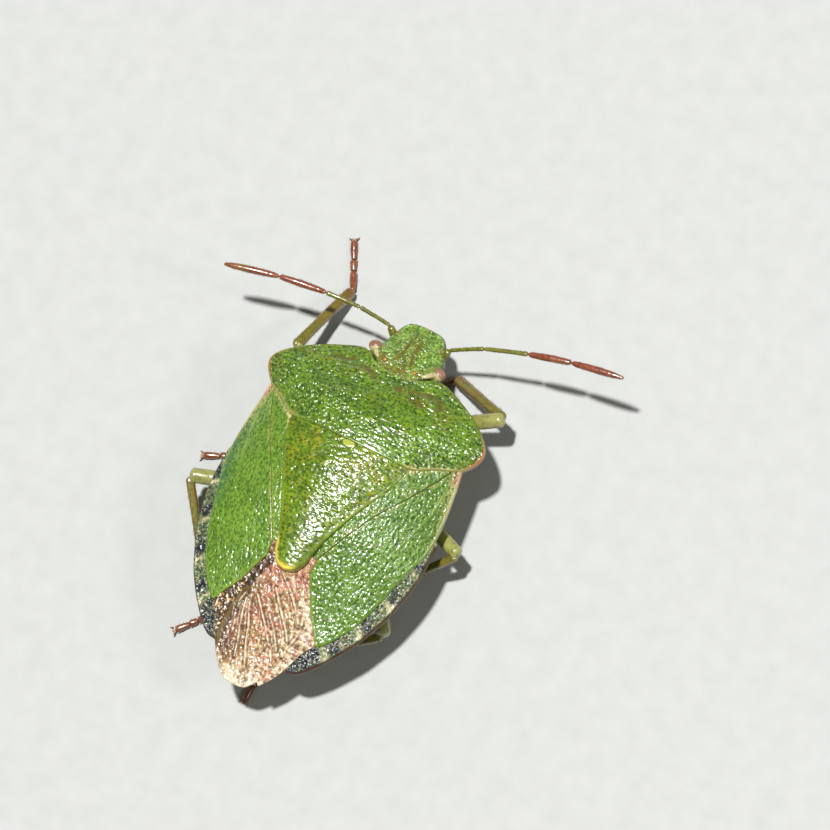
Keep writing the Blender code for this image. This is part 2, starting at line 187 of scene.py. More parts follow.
# %% A paint
class Paint:
    """A new material, and the few ways this lesson adds nodes to it."""

    def __init__(self, name, **constants):
        self.material = bpy.data.materials.new(name)
        self.material.use_nodes = True
        self.tree = self.material.node_tree
        self.shader = self.tree.nodes["Principled BSDF"]
        for key, value in constants.items():
            words = key.replace("_", " ").title().replace("Ior", "IOR")
            self.shader.inputs[words].default_value = value
        place = self.node("ShaderNodeTexCoord", output="Object")
        self.mm = self.node("ShaderNodeVectorMath", {"operation": "SCALE"},
                            {0: place, "Scale": 1 / MM})

    def node(self, kind, settings=None, values=None, output=0):
        """A node of any kind: its settings first, then the values or links of its sockets."""
        node = self.tree.nodes.new(kind)
        for key, value in (settings or {}).items():
            if key == "stops":
                self.set_stops(node.color_ramp, value)
            else:
                setattr(node, key, value)
        for key, value in (values or {}).items():
            self.plug(value, node.inputs[key])
        return Value(self, node.outputs[output])

    def plug(self, value, socket):
        """Links a Value to a socket, or sets the socket to a plain number or colour."""
        if isinstance(value, Value):
            self.tree.links.new(value.socket, socket)
        else:
            socket.default_value = value

    def set_stops(self, ramp, stops):
        """Colours at places along a ramp, which comes with two of them."""
        while len(ramp.elements) < len(stops):
            ramp.elements.new(1)
        for element, (position, colour) in zip(ramp.elements, stops):
            element.position = position
            element.color = (*colour, 1)

    def field(self, name):
        """A number that the mesh stores on its points."""
        return self.node("ShaderNodeAttribute", {"attribute_name": name}, output="Fac")

    def noise(self, per_mm, detail=2.0, roughness=0.5):
        """Soft noise from 0 to 1, with so many features to the millimetre."""
        return self.node("ShaderNodeTexNoise", {}, {"Vector": self.mm, "Scale": per_mm,
                                                    "Detail": detail, "Roughness": roughness})

    def ramp(self, value, *stops):
        """A colour that follows a number through stops of (position, colour)."""
        return self.node("ShaderNodeValToRGB", {"stops": stops}, {0: value})

    def mask(self, value, low, high):
        """A smooth step from 0 below low to 1 above high."""
        return self.node("ShaderNodeMapRange", {"interpolation_type": "SMOOTHSTEP"},
                         {"Value": value, "From Min": low, "From Max": high})

    def mix(self, amount, colour, tint):
        """A colour that goes over to a plain tint by an amount."""
        return self.node("ShaderNodeMix", {"data_type": "RGBA"},
                         {0: amount, 6: colour, 7: (*tint, 1)}, output=2)

    def finish(self, colour, roughness, height, depth):
        """Feeds the shader. The height, times a depth in millimetres, bumps the surface."""
        self.plug(colour, self.shader.inputs["Base Color"])
        self.plug(roughness, self.shader.inputs["Roughness"])
        bump = self.node("ShaderNodeBump", {}, {"Height": height, "Distance": depth * MM},
                         "Normal")
        self.plug(bump, self.shader.inputs["Normal"])
        return self.material


floor_paint = Paint("floor_paper")
fibre = floor_paint.noise(1.5, 5)
paper = floor_paint.ramp(fibre, (0.3, (0.37, 0.377, 0.365)), (0.7, (0.395, 0.402, 0.39)))
floor_mesh.materials.append(floor_paint.finish(paper, 0.75, fibre, 0.01))
print("the floor has its paper")

# %% [markdown]
# ## Smooth lines and steps
#
# A maker draws a plate's edge through a handful of points. A Catmull-Rom curve passes through
# each of them and can be sampled as finely as a piece needs.

# %% Curves and steps
def smooth_line(points, step):
    """Places about step apart along a smooth curve through the points."""
    points = np.array(points, float)
    ends = np.vstack([2 * points[0] - points[1], points, 2 * points[-1] - points[-2]])
    out = [points[:1]]
    for p0, p1, p2, p3 in zip(ends, ends[1:], ends[2:], ends[3:]):
        count = max(1, round(float(np.linalg.norm(p2 - p1)) / step))
        t = np.arange(1, count + 1)[:, None] / count
        out.append(0.5 * (2 * p1 + (p2 - p0) * t + (2 * p0 - 5 * p1 + 4 * p2 - p3) * t ** 2
                          + (3 * p1 - p0 - 3 * p2 + p3) * t ** 3))
    return np.vstack(out)


def joined(runs, step):
    """One line along several smooth runs, without doubled corners."""
    out = smooth_line(runs[0], step)
    for run in runs[1:]:
        more = smooth_line(run, step)
        if np.linalg.norm(more[0] - out[-1]) < step:
            more = more[1:]
        out = np.vstack([out, more])
    return out


def all_lines(lines, step):
    """The places of several smooth lines in one list."""
    return np.vstack([smooth_line(line, step) for line in lines])


def mirrored(half):
    """The closed outline of a half that starts and ends on the mid-line."""
    return np.vstack([half, (half * (-1, 1))[-2:0:-1]])


def ease(low, high, value):
    """A smooth step from 0 at low to 1 at high."""
    t = np.clip((value - low) / (high - low), 0, 1)
    return t * t * (3 - 2 * t)


def bell(value, width):
    """1 where the value is 0, fading to nothing over about twice the width."""
    return np.exp(-(value / width) ** 2)


print("one width off its middle a bell has fallen to", round(float(bell(1, 1)), 2))

# %% [markdown]
# ## The form of the body
#
# Four profiles along the body give its form: the ridge of the back, the height of its side
# edge, the keel of the belly, and half its width. Between ridge and edge the back's section
# is close to a parabola. All plates follow this one surface, so they always fit together.

# %% Profiles of the body
RIDGE = [(0, 2.4), (0.6, 2.78), (1.2, 3.06), (1.9, 3.3), (2.4, 3.6), (3.1, 4.07), (3.65, 4.36),
         (4.0, 4.44), (4.7, 4.54), (6, 4.5), (7.6, 4.2), (9.2, 3.68), (10.6, 3.25), (12, 2.88),
         (13, 2.66)]
EDGE = [(0, 2.3), (1, 2.52), (1.55, 2.92), (2.5, 3.16), (3.2, 3.36), (4, 3.22), (5, 3.1),
        (6.5, 2.98), (9, 2.95), (11, 2.9), (12, 2.76), (13, 2.6)]
KEEL = [(0, 1.95), (0.8, 1.8), (1.7, 1.7), (2.4, 1.4), (3.4, 1.2), (6, 1.12), (8, 1.1),
        (9.5, 1.22), (10.6, 1.5), (11.5, 1.95), (12.1, 2.3)]
HALF_WIDTH = [(0, 0.8), (0.9, 1.03), (1.35, 1.35), (1.8, 2.1), (2.5, 3.3), (3.2, 3.84),
              (4, 3.55), (5, 3.65), (7.3, 3.82), (8.6, 3.62), (9.8, 3.2), (10.9, 2.58),
              (11.7, 1.9), (12.1, 1.5), (13, 0.9)]
BACK_ROUNDNESS = 2.2
PROFILE_STEP = 0.05
ridge_line, edge_line, keel_line, width_line = (
    smooth_line(stations, PROFILE_STEP) for stations in (RIDGE, EDGE, KEEL, HALF_WIDTH))


def station(line, s):
    """The value that a profile has at s."""
    return np.interp(s, line[:, 0], line[:, 1])


def across(x, s):
    """0 on the mid-line, 1 at the body's side."""
    return np.clip(np.abs(x) / station(width_line, s), 0, 1)


def back(x, s):
    """Height of the insect's back."""
    edge = station(edge_line, s)
    return edge + (station(ridge_line, s) - edge) * (1 - across(x, s) ** BACK_ROUNDNESS)


print("the back is", round(float(back(np.array(0.0), np.array(4.9))), 2), "mm over the floor")

# %% [markdown]
# ## Nearest things
#
# Pits, veins, furrows and rims all ask one question of each point: how far is it to the
# nearest of those? A k-d tree answers it quickly.

# %% Distances
def nearest(points, targets):
    """Distance from each point to the nearest target, and which one that is."""
    tree = kdtree.KDTree(len(targets))
    flat = targets.shape[1] == 2
    for i, target in enumerate(targets.tolist()):
        tree.insert((*target, 0) if flat else target, i)
    tree.balance()
    found = [tree.find((*p, 0) if flat else p)[1:] for p in points.tolist()]
    return np.array([f[1] for f in found]), np.array([f[0] for f in found])


def inward_of(outline):
    """Unit vectors that point into a counterclockwise outline from each of its points."""
    run = np.roll(outline, -1, 0) - np.roll(outline, 1, 0)
    run /= np.linalg.norm(run, axis=1)[:, None]
    return np.stack([-run[:, 1], run[:, 0]], 1)


def rim_depth(points, outline):
    """How far inside a counterclockwise outline each point lies. Outside is negative."""
    _, near = nearest(points, outline)
    depth = np.full(len(points), np.inf)
    for start, end in ((near - 1, near), (near, (near + 1) % len(outline))):
        a, run = outline[start], outline[end] - outline[start]
        t = np.clip(((points - a) * run).sum(1) / (run ** 2).sum(1), 0, 1)[:, None]
        depth = np.minimum(depth, np.linalg.norm(a + run * t - points, axis=1))
    side = ((points - outline[near]) * inward_of(outline)[near]).sum(1)
    return np.where(side < 0, -depth, depth)


def counterclockwise(outline):
    """The outline, turned round if it runs clockwise."""
    after = np.roll(outline, -1, 0)
    area = (outline[:, 0] * after[:, 1] - after[:, 0] * outline[:, 1]).sum()
    return outline if area > 0 else outline[::-1]


square = np.array([(0, 0), (2, 0), (2, 2), (0, 2)], float)
print("the middle of a 2 mm square lies", rim_depth(np.array([(1.0, 1.0)]), square)[0], "mm deep")

# %% [markdown]
# ## Smooth noise
#
# Living shells are never quite even. Value noise is a table of fixed random numbers that is
# read with smooth interpolation, so it's the same on every run. Stretched noise gives wrinkles.

# %% Noise on points
NOISE_SIDE = 256
NOISE_TABLE = np.random.default_rng(13).random((NOISE_SIDE, NOISE_SIDE))
SEED_SHIFT = 17.3


def drift(points, size, seed=0):
    """Smooth noise from -1 to 1 over flat points, with features about size across."""
    cell = points / size + seed * SEED_SHIFT
    low = np.floor(cell).astype(int)
    t = cell - low
    t = t * t * (3 - 2 * t)
    corners = [[NOISE_TABLE[(low[:, 0] + i) % NOISE_SIDE, (low[:, 1] + j) % NOISE_SIDE]
                for j in (0, 1)] for i in (0, 1)]
    sides = [c[0] * (1 - t[:, 1]) + c[1] * t[:, 1] for c in corners]
    return 2 * (sides[0] * (1 - t[:, 0]) + sides[1] * t[:, 0]) - 1


def rough(places, size, seed):
    """Smooth noise over places in space."""
    return (drift(places[:, :2], size, seed) + drift(places[:, 1:], size, seed + 1)
            + drift(places[:, ::2], size, seed + 2)) / 1.8


def turning(turn):
    """The matrix that turns flat points back by an angle."""
    cosine, sine = math.cos(turn), math.sin(turn)
    return np.array([[cosine, -sine], [sine, cosine]])


def wrinkled(points, run, gap, seed, turn=0.0):
    """Broken ridges from -1 to 1, long along a direction and narrow across it."""
    turned = points @ turning(turn) / (run, gap)
    return (drift(turned, 1, seed) + 0.4 * drift(turned * 2, 1, seed + 5)) / 1.2


print("a noise table of", NOISE_TABLE.size, "numbers")

# %% [markdown]
# ## Plates
#
# A plate is a closed slab over a flat outline. Its top is an even mesh of small triangles,
# fine enough to carry each pit, and its hidden underside is coarse. Delaunay triangulation
# fills any outline with well-shaped triangles, which a stretched grid couldn't do here.

# %% Triangles inside an outline
FINE = 0.018
COARSE = 0.15
RIM_ROWS = (0.012, 0.028)
MERGE_WITHIN = 1e-6


def tiles(outline, step, rows=()):
    """Flat triangles that fill an outline: its own points, rows just inside it, then a grid."""
    inward = inward_of(outline)
    rings = [outline + inward * depth for depth in rows]
    kept = [ring[rim_depth(ring, outline) > 0.97 * depth] for ring, depth in zip(rings, rows)]
    low, high = outline.min(0), outline.max(0)
    row_height = step * math.sqrt(3) / 2
    columns = np.arange(low[0], high[0], step)
    grid = np.vstack([np.stack([columns + (row % 2) * step / 2,
                                np.full(len(columns), low[1] + row * row_height)], 1)
                      for row in range(int((high[1] - low[1]) / row_height) + 1)])
    clear = (rows[-1] if rows else 0) + 0.6 * step
    grid = grid[rim_depth(grid, outline) > clear]
    points = np.vstack([outline, *kept, grid])
    edges = [(i, (i + 1) % len(outline)) for i in range(len(outline))]
    flat, _, faces = delaunay_2d_cdt([Vector(p) for p in points.tolist()], edges, [], 1,
                                     MERGE_WITHIN)[:3]
    return np.array([tuple(p) for p in flat]), faces


print("a 2 mm square takes", len(tiles(square, COARSE)[1]), "coarse triangles")

# %% [markdown]
# A piece of the visual model moves with the solid model's body and says which solids it stands
# for. Extra numbers per point, its fields, go with the mesh as attributes from 0 to 1, for the
# paints to read.

# %% Make a piece
def piece(name, places, faces, paint, stands_for=(), fields=None):
    """One object of the model, from places in millimetres of the body."""
    mesh = bpy.data.meshes.new(name)
    mesh.from_pydata(((places - ORIGIN) * MM).tolist(), [], faces)
    for label, values in (fields or {}).items():
        stored = mesh.attributes.new(label, "FLOAT", "POINT")
        stored.data.foreach_set("value", np.clip(values, 0, 1).astype(np.float32))
    mesh.materials.append(paint)
    mesh.shade_smooth()
    obj = bpy.data.objects.new(name, mesh)
    bpy.context.scene.collection.objects.link(obj)
    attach(obj, "root")
    if stands_for:
        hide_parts(*stands_for)
    print(name, len(places), "points,", len(faces), "faces")


def slab(name, outline, top, bottom, paint, slot, stands_for=(), step=FINE, low_step=COARSE,
         facing=1):
    """A closed piece between two faces over one outline.

    top and bottom take flat points and their rim depths, and give heights and fields, of which
    one may be a plain number. With facing -1 the first of them, the fine one, is the underside.
    """
    outline = counterclockwise(outline)
    flat, faces = tiles(outline, step, RIM_ROWS if step == FINE else ())
    under, under_faces = tiles(outline, low_step)
    heights, fields = top(flat, rim_depth(flat, outline))
    low_heights, low_fields = bottom(under, rim_depth(under, outline))
    count, rim = len(flat), len(outline)
    walls = [(i, count + i, count + (i + 1) % rim, (i + 1) % rim) for i in range(rim)]
    turned = [tuple(count + i for i in reversed(face)) for face in under_faces]
    places = np.vstack([np.column_stack([flat, heights]), np.column_stack([under, low_heights])])
    both = (fields, count), (low_fields, len(under))
    stored = {label: np.concatenate([np.broadcast_to(given.get(label, 0.0), size)
                                     for given, size in both])
              for label in {**fields, **low_fields}}
    faces = [tuple(face)[::facing] for face in list(faces) + walls + turned]
    piece(name, places, faces, paint, stands_for, stored)


print("a fine face has a triangle every", FINE, "mm")

# %% [markdown]
# ## Pits
#
# The cuticle is pricked all over with coarse pits, about a tenth of a millimetre across. They
# stand in loose rows, so they are set on a triangular grid and each is moved a little at
# random. Each pit has a low lip, a little beyond its own radius. Some fields stay smooth and
# unpitted, so each plate thins its pits with a rule.

# %% Scatter and dig pits
ROW_RATIO = 0.866
LIP_AT = 1.35
LIP_WIDTH = 0.35


def scatter(low, high, spacing, seed, turn=0.0, stretch=1.0, loose=0.42):
    """Jittered grid places over a box, with rows turned and stretched along their run."""
    rng = np.random.default_rng(seed)
    middle, reach = (np.array(low) + high) / 2, np.linalg.norm(np.array(high) - low) / 2
    rows = int(reach / (spacing * ROW_RATIO)) + 1
    columns = int(reach / (spacing * stretch)) + 1
    row, column = np.meshgrid(np.arange(-rows, rows + 1), np.arange(-columns, columns + 1))
    places = np.stack([(column + row % 2 / 2).ravel() * spacing * stretch,
                       row.ravel() * spacing * ROW_RATIO], 1)
    places += rng.uniform(-loose, loose, places.shape) * spacing * (stretch, 1)
    places = places @ turning(-turn) + middle
    inside = ((places > low) & (places < high)).all(1)
    return places[inside], rng.uniform(0.5, 1.25, inside.sum())


def dig(points, pits, sizes, radius, turn=0.0, stretch=1.0):
    """How deep each point lies in a pit, from 0 to 1, and the raised lip round it."""
    turned = turning(turn) / (stretch, 1)
    away, which = nearest(points @ turned, pits @ turned)
    away = away / (radius * sizes[which])
    return np.clip(1 - away ** 2, 0, 1) ** 1.5, bell(away - LIP_AT, LIP_WIDTH)


def pit_field(points, kept, box, spacing, seed, radius, turn=0.0, rows=1.0, long=1.0, loose=0.42):
    """Pits and lips scattered over a box, where they are kept. rows and long stretch them."""
    pits, sizes = scatter(*box, spacing, seed, turn, rows, loose)
    pit, lip = dig(points, pits, sizes, radius, turn, long)
    return pit * kept, lip * kept


print("a square millimetre has about", len(scatter((0, 0), (4, 4), 0.118, 1)[0]) // 16, "pits")

# %% [markdown]
# ## Paint for cuticle
#
# Cuticle is painted in clouds and a fine grain, whose tiny bumps are lighter on their crests,
# and blackish in its pits, partly their own colour and partly painted shade. The pit field
# also carries painted shade in wrinkle troughs, creases and seams. A drift of other tints lies
# between. The same recipe, with other colours, serves the shell, the belly, the wings and the
# legs. Fields on the points steer it: pit, gold, blush, dark, pale, hair and matte, which takes
# the gloss away.

# %% A recipe for cuticle
HAIR_BROWN = (0.2, 0.1, 0.035)


def cuticle(name, deep, light, gold, pit_and_shade, dark=(0.012, 0.014, 0.02), blush=(0.4, 0.12, 0.05),
            pale=(0.6, 0.52, 0.2), shine=0.36, clouds=0.9, coat=1.0, coat_roughness=0.26):
    """A glossy coat over clouded colour, with a tint for each field."""
    paint = Paint(name, coat_roughness=coat_roughness, coat_ior=1.75, specular_ior_level=0.12)
    cloud = paint.noise(clouds, 4)
    grain = paint.noise(11, 4, 0.62)
    speck = paint.noise(44, 2)
    colour = paint.ramp(cloud * 0.3 + grain * 0.7, (0.39, deep), (0.58, light))
    colour = paint.mix(paint.mask(speck, 0.52, 0.72) * 0.5, colour, gold)
    colour = paint.mix(paint.field("gold"), colour, gold)
    colour = paint.mix(paint.field("blush"), colour, blush)
    colour = paint.mix(paint.field("dark"), colour, dark)
    colour = paint.mix(paint.field("pale"), colour, pale)
    pit = paint.field("pit")
    # Pits are blackish partly by their own colour and partly as painted shade; the troughs,
    # creases and seams that the pit field also carries are painted shade.
    colour = paint.mix(pit * (0.5 + grain * 0.8), colour, pit_and_shade)
    colour = paint.mix(paint.field("hair"), colour, HAIR_BROWN)
    gloss = coat * (1 - paint.field("matte")) * (1 - 0.45 * pit)
    paint.plug(gloss, paint.shader.inputs["Coat Weight"])
    roughness = shine + pit * 0.25 + grain * 0.12
    return paint.finish(colour, roughness, speck * 0.4 + grain, 0.003)


print("bristles are painted", HAIR_BROWN)

# %% Three shell paints
green_shell = cuticle("green_shell", (0.032, 0.082, 0.001), (0.14, 0.262, 0.01),
                      (0.17, 0.175, 0.004), (0.012, 0.042, 0.001), dark=(0.1, 0.084, 0.006),
                      blush=(0.46, 0.14, 0.06), pale=(0.36, 0.3, 0.1))
# The wing paint's dark colour is a teal, used only to paint a bluish sheen on the left wing.
wing_shell = cuticle("wing_shell", (0.055, 0.13, 0.007), (0.145, 0.275, 0.025),
                     (0.17, 0.21, 0.004), (0.022, 0.07, 0.002), dark=(0.012, 0.1, 0.05),
                     blush=(0.58, 0.25, 0.18), pale=(0.46, 0.42, 0.16))
shield_shell = cuticle("shield_shell", (0.034, 0.08, 0.001), (0.14, 0.24, 0.004),
                       (0.23, 0.235, 0.004), (0.022, 0.052, 0.001), dark=(0.07, 0.042, 0.006),
                       blush=(0.3, 0.33, 0.035), pale=(0.68, 0.54, 0.06))
print("shell paints are ready")

# %% [markdown]
# ## Pronotum
#
# The pronotum is the broad plate behind the head, with square shoulders. A pair of smooth
# swellings with brown marks lies behind its front edge, a shallow furrow crosses it behind
# those, and its middle is wrinkled crosswise. Elsewhere small beads of relief scatter single
# glints. Its rim is a fine tan cord, orange red at the shoulders and dark along the front.

# %% Outline and marks of the pronotum
PRONOTUM = [[(0, 1.96), (0.5, 1.93), (0.86, 1.79), (1.1, 1.62), (1.36, 1.52)],
            [(1.36, 1.52), (1.66, 1.57), (2.12, 1.77), (2.64, 2.02), (3.1, 2.3), (3.47, 2.6),
             (3.73, 2.9), (3.84, 3.18), (3.79, 3.43), (3.65, 3.66), (3.42, 3.92)],
            [(3.42, 3.92), (3.15, 4.08), (2.75, 4.3), (2.4, 4.56), (2.12, 4.7), (1.8, 4.73)],
            [(1.8, 4.73), (0, 4.73)]]
pronotum_outline = counterclockwise(mirrored(joined(PRONOTUM, FINE)))
CALLUS_MARKS = [[(1.99, 2.2), (1.67, 2.19), (1.36, 2.02)],
                [(0.95, 2.22), (0.66, 2.27), (0.4, 2.4)],
                [(-0.38, 2.44), (-0.72, 2.41), (-0.88, 2.32), (-1.25, 2.2), (-1.65, 2.19),
                 (-1.9, 2.43)], [(-1.0, 2.55), (-1.4, 2.62)]]
callus_lines = all_lines(CALLUS_MARKS, FINE)
print("the pronotum is", round(float(np.ptp(pronotum_outline[:, 0])), 2), "mm broad")


# %% Relief of the pronotum
def rolled(depth, width, drop):
    """How far a rim of that width turns down at each rim depth."""
    t = np.clip(1 - depth / width, 0, 1)
    return drop * (1 - np.sqrt(np.clip(1 - t * t, 0, 1)))


def pronotum_top(points, depth):
    """Wrinkles across the middle, beads elsewhere, swellings, furrow and rim cord."""
    x, s = points.T
    calli = bell((np.abs(x) - 1.15) / 0.75, 1) * bell((s - 2.28 - 0.12 * np.abs(x)) / 0.26, 1)
    furrow = bell((s - 2.95) / 0.3, 1) * ease(0, 1, across(x, s) * 2) * (1 - across(x, s) ** 4)
    callus_mark = (bell(nearest(points, callus_lines)[0], 0.11)
                   * ease(-1.1, 0.1, drift(points, 0.13, 6)))
    kept = (1 - 0.5 * callus_mark) * ease(0.03, 0.09, depth)
    pit, lip = pit_field(points, kept, ((-3.9, 1.4), (3.9, 4.8)), 0.118, 3, 0.05, rows=1.2,
                         long=1.3, loose=0.5)
    wrinkle = wrinkled(points, 0.19, 0.078, 1) * kept
    rough_front = 1.15 - 0.3 * ease(3.4, 3.9, s)
    off_band = np.maximum(ease(0.3, 1.5, np.abs(x + 0.7)), ease(3.0, 2.5, s))
    beads = drift(points, 0.06, 9) * off_band * kept
    to_middle = ease(2.6, 1.2, np.abs(x)) * ease(4.2, 4.5, s)
    cord = bell(depth - 0.04, 0.045) * ease(2.3, 2.8, s) * (1 - to_middle)
    front_cord = bell(depth - 0.035, 0.025) * ease(1.1, 0.7, np.abs(x)) * ease(2.3, 2.2, s)
    z = (back(x, s) + 0.04 * calli - 0.06 * furrow - 0.008 * pit + 0.002 * lip
         + 0.02 * wrinkle * rough_front + 0.026 * beads + 0.02 * drift(points, 0.7, 2)
         + 0.01 * cord + 0.014 * front_cord - 0.02 * callus_mark
         - rolled(depth, 0.05, 0.05) * (1 - 0.8 * to_middle))
    shoulder = bell(np.hypot(np.abs(x) - 3.8, s - 3.3), 0.6)
    # A darker band just inside the side rims near the shoulders.
    inner_rim_darkening = bell(depth - 0.13, 0.1) * bell(s - 3.0, 0.6) * ease(2.4, 3.2, np.abs(x))
    front_rim = ease(2.9, 2.2, s) * ease(1.0, 1.2, np.abs(x))
    marks = drift(points, 0.16, 4)
    edge = bell(depth, 0.028)
    # The wrinkle troughs are darkened as painted shade.
    trough_shade = np.minimum(wrinkle, 0)
    return z, {
        "pit": (pit * (1.0 + 0.3 * marks) - 0.65 * trough_shade + 0.7 * edge * to_middle
                + 0.35 * inner_rim_darkening),
        "gold": (0.35 * calli * ease(-0.3, 0.4, marks) + 0.3 * ease(0.15, 0.8, marks)
                 + 0.4 * bell((s - 2.6) / 0.3, 1) * ease(-0.2, 0.6, drift(points, 0.5, 8))
                 + 0.15 * edge * to_middle),
        # The front cord's pale is partly its cream colour and partly a painted highlight.
        "pale": np.clip(0.45 * edge * (1 - to_middle) * ease(1.5, 2.2, np.abs(x))
                        * ease(2.4, 3.2, s) + 0.5 * cord * ease(2.6, 3.4, s)
                        + 0.5 * front_cord, 0, 1) * (1 - 0.8 * shoulder),
        "dark": callus_mark + 0.8 * bell(depth, 0.06) * front_rim,
        "matte": bell(depth, 0.04) * np.maximum(front_rim, shoulder),
        "blush": (bell(depth, 0.045) * shoulder * 1.2 + 0.3 * bell(depth, 0.12) * shoulder
                  + 0.4 * bell(np.hypot(np.abs(x) - 2.1, s - 4.66), 0.1)),
    }


def try_out(relief, outline):
    """Prints how far a relief lies from the smooth back, on a coarse sample of its points."""
    points, _ = tiles(outline, COARSE)
    heights, fields = relief(points, rim_depth(points, outline))
    change = heights - back(*points.T)
    print("from", round(float(change.min()), 2), "to", round(float(change.max()), 2),
          "mm over the back, with the fields", *sorted(fields))


try_out(pronotum_top, pronotum_outline)

# %% Build the pronotum
def plate_underside(rim, middle, width=0.6):
    """The underside of a plate that is so thick at its rim and in its middle."""
    def bottom(points, depth):
        x, s = points.T
        return back(x, s) - rim - (middle - rim) * ease(0, width, depth), {}
    return bottom


slab("pronotum_shell", pronotum_outline, pronotum_top,
     plate_underside(rim=0.16, middle=0.42), green_shell, "shell_green", ["pronotum"])

# %% [markdown]
# ## Where one plate slips under another
#
# In life the pronotum's rear edge lies over the scutellum and the wing roots, and the scutellum
# lies over the wings' inner edges. Each lower plate therefore runs on a little under its
# neighbour and dips there, which makes the dark crease that a plain gap would not.

# %% Dip under a neighbour
DIP = 0.17


def tucked(points, cover, dip=DIP):
    """How far a plate dips where a covering plate's outline lies over it."""
    return dip * ease(-0.02, 0.06, rim_depth(points, cover))


print("a tucked edge dips by", DIP, "mm")

# %% [markdown]
# ## Scutellum
#
# The scutellum is a long rounded triangle from the pronotum down to the wing tips. Its broad
# base is wrinkled crosswise and tinged with olive gold at the corners. A smooth green band
# follows its narrowing sides, a low ridge runs down its middle, and its tip has a yellow hem.

# %% Outline of the scutellum
SCUTELLUM_SIDE = [(2.1, 4.82), (1.95, 5.35), (1.64, 6.1), (1.23, 6.95), (0.84, 7.85),
                  (0.64, 8.45)]
SCUTELLUM = [[(0, 4.6), (2.02, 4.6)], [(2.02, 4.6), *SCUTELLUM_SIDE],
             [(0.64, 8.45), (0.54, 8.82), (0.32, 9.14), (0, 9.25)]]
scutellum_outline = counterclockwise(mirrored(joined(SCUTELLUM, FINE)))
print("the scutellum is", round(float(np.ptp(scutellum_outline[:, 1])), 2), "mm long")


# %% Relief of the scutellum
def scutellum_top(points, depth):
    """Wrinkles across the base, a band along each side, the spine and the risen tip."""
    x, s = points.T
    band = ease(5.2, 6.6, s) * bell(depth - 0.02, 0.09)
    spot = ease(1.25, 0.85, np.hypot((x + 0.1) / 0.19, (s - 4.86) / 0.1))
    kept = (1 - 0.8 * ease(0.2, 0.6, band)) * (1 - spot) * ease(0.02, 0.07, depth)
    pit, lip = pit_field(points, kept, ((-2.2, 4.5), (2.2, 9.3)), 0.114, 7, 0.048, rows=1.15,
                         long=1.25, loose=0.5)
    wrinkle = wrinkled(points, 0.16, 0.08, 11) * kept
    calm = 1 - 0.35 * ease(7.0, 7.8, s) + 0.3 * bell((s - 6.7) / 0.8, 1)
    hem = ease(8.2, 8.6, s) * bell(depth - 0.045, 0.075) * ease(-0.45, -0.05, x)
    spine = bell(x, 1) * ease(4.7, 5.9, s)
    tip_rise = 0.28 * ease(6.7, 9.9, s) * bell(x / 1.1, 1)
    z = (back(x, s) + 0.02 * ease(0, 0.3, depth) + 0.15 * spine + tip_rise
         - 0.006 * pit * calm + 0.002 * lip + 0.018 * wrinkle * calm
         + 0.012 * drift(points, 0.6, 12) + 0.006 * band + 0.01 * spot
         - rolled(depth, 0.035, 0.03)
         - rolled(depth, 0.25, 0.16) * ease(7.6, 9.0, s) * (0.15 + 0.85 * ease(-0.1, 0.3, x))
         - tucked(points, pronotum_outline))
    corner = bell(np.hypot((np.abs(x) - 1.3) / 0.75, (s - 5.3) / 0.8), 1)
    # The wrinkle troughs are darkened as painted shade.
    trough_shade = np.minimum(wrinkle, 0)
    marks = drift(points, 0.2, 14)
    return z, {
        "pit": pit * (1.0 + 0.4 * marks) - 0.8 * trough_shade,
        "gold": (0.75 * corner * ease(-0.5, 0.5, marks) + 0.2 * band
                 + 0.4 * ease(0.0, 0.8, marks) * kept),
        "pale": 1.2 * hem,
        "blush": spot,
        "dark": 0.5 * bell(np.hypot(np.abs(x) - 2.02, s - 4.86), 0.12),
    }


try_out(scutellum_top, scutellum_outline)

# %% Build the scutellum
slab("scutellum_shell", scutellum_outline, scutellum_top,
     plate_underside(rim=0.14, middle=0.42), shield_shell, "shield_green", ["scutellum"])

# %% [markdown]
# ## Wing plates
#
# A folded forewing is leathery for two thirds of its length. A straight seam parts it into the
# narrow clavus beside the scutellum and the broad corium. Pits and folds run in streaks, low
# veins stand between them, and a cream cord, pink near the shoulder, edges the front. The two
# wings dried a little differently: the right one is more folded, so it glitters more. The right
# one is also painted darker all over, and in the crease of its seam, as painted shade, and the
# left one has a painted bluish sheen behind its front edge.

# %% Outlines of the wing plates
SUTURE = [(3.17, 4.14), (2.9, 4.72), (2.52, 5.46), (1.88, 6.5), (1.34, 7.5), (0.78, 8.55)]
COSTA = [(3.46, 3.98), (3.56, 4.7), (3.65, 5.6), (3.67, 6.3), (3.6, 6.9), (3.45, 7.4),
         (3.3, 7.95), (3.1, 8.7), (2.83, 9.5), (2.45, 10.2), (2.15, 10.62), (1.88, 10.88)]
WING_TIP_EDGE = [(1.82, 10.86), (1.6, 10.5), (1.3, 10.08), (1.02, 9.52), (0.76, 8.98)]
SEAM = 0.005
UNDERLAP = 0.14
SIDES = {"left": 1, "right": -1}


def moved(line, dx=0.0, ds=0.0):
    """The same line, a little further out or back."""
    return [(x + dx, s + ds) for x, s in line]


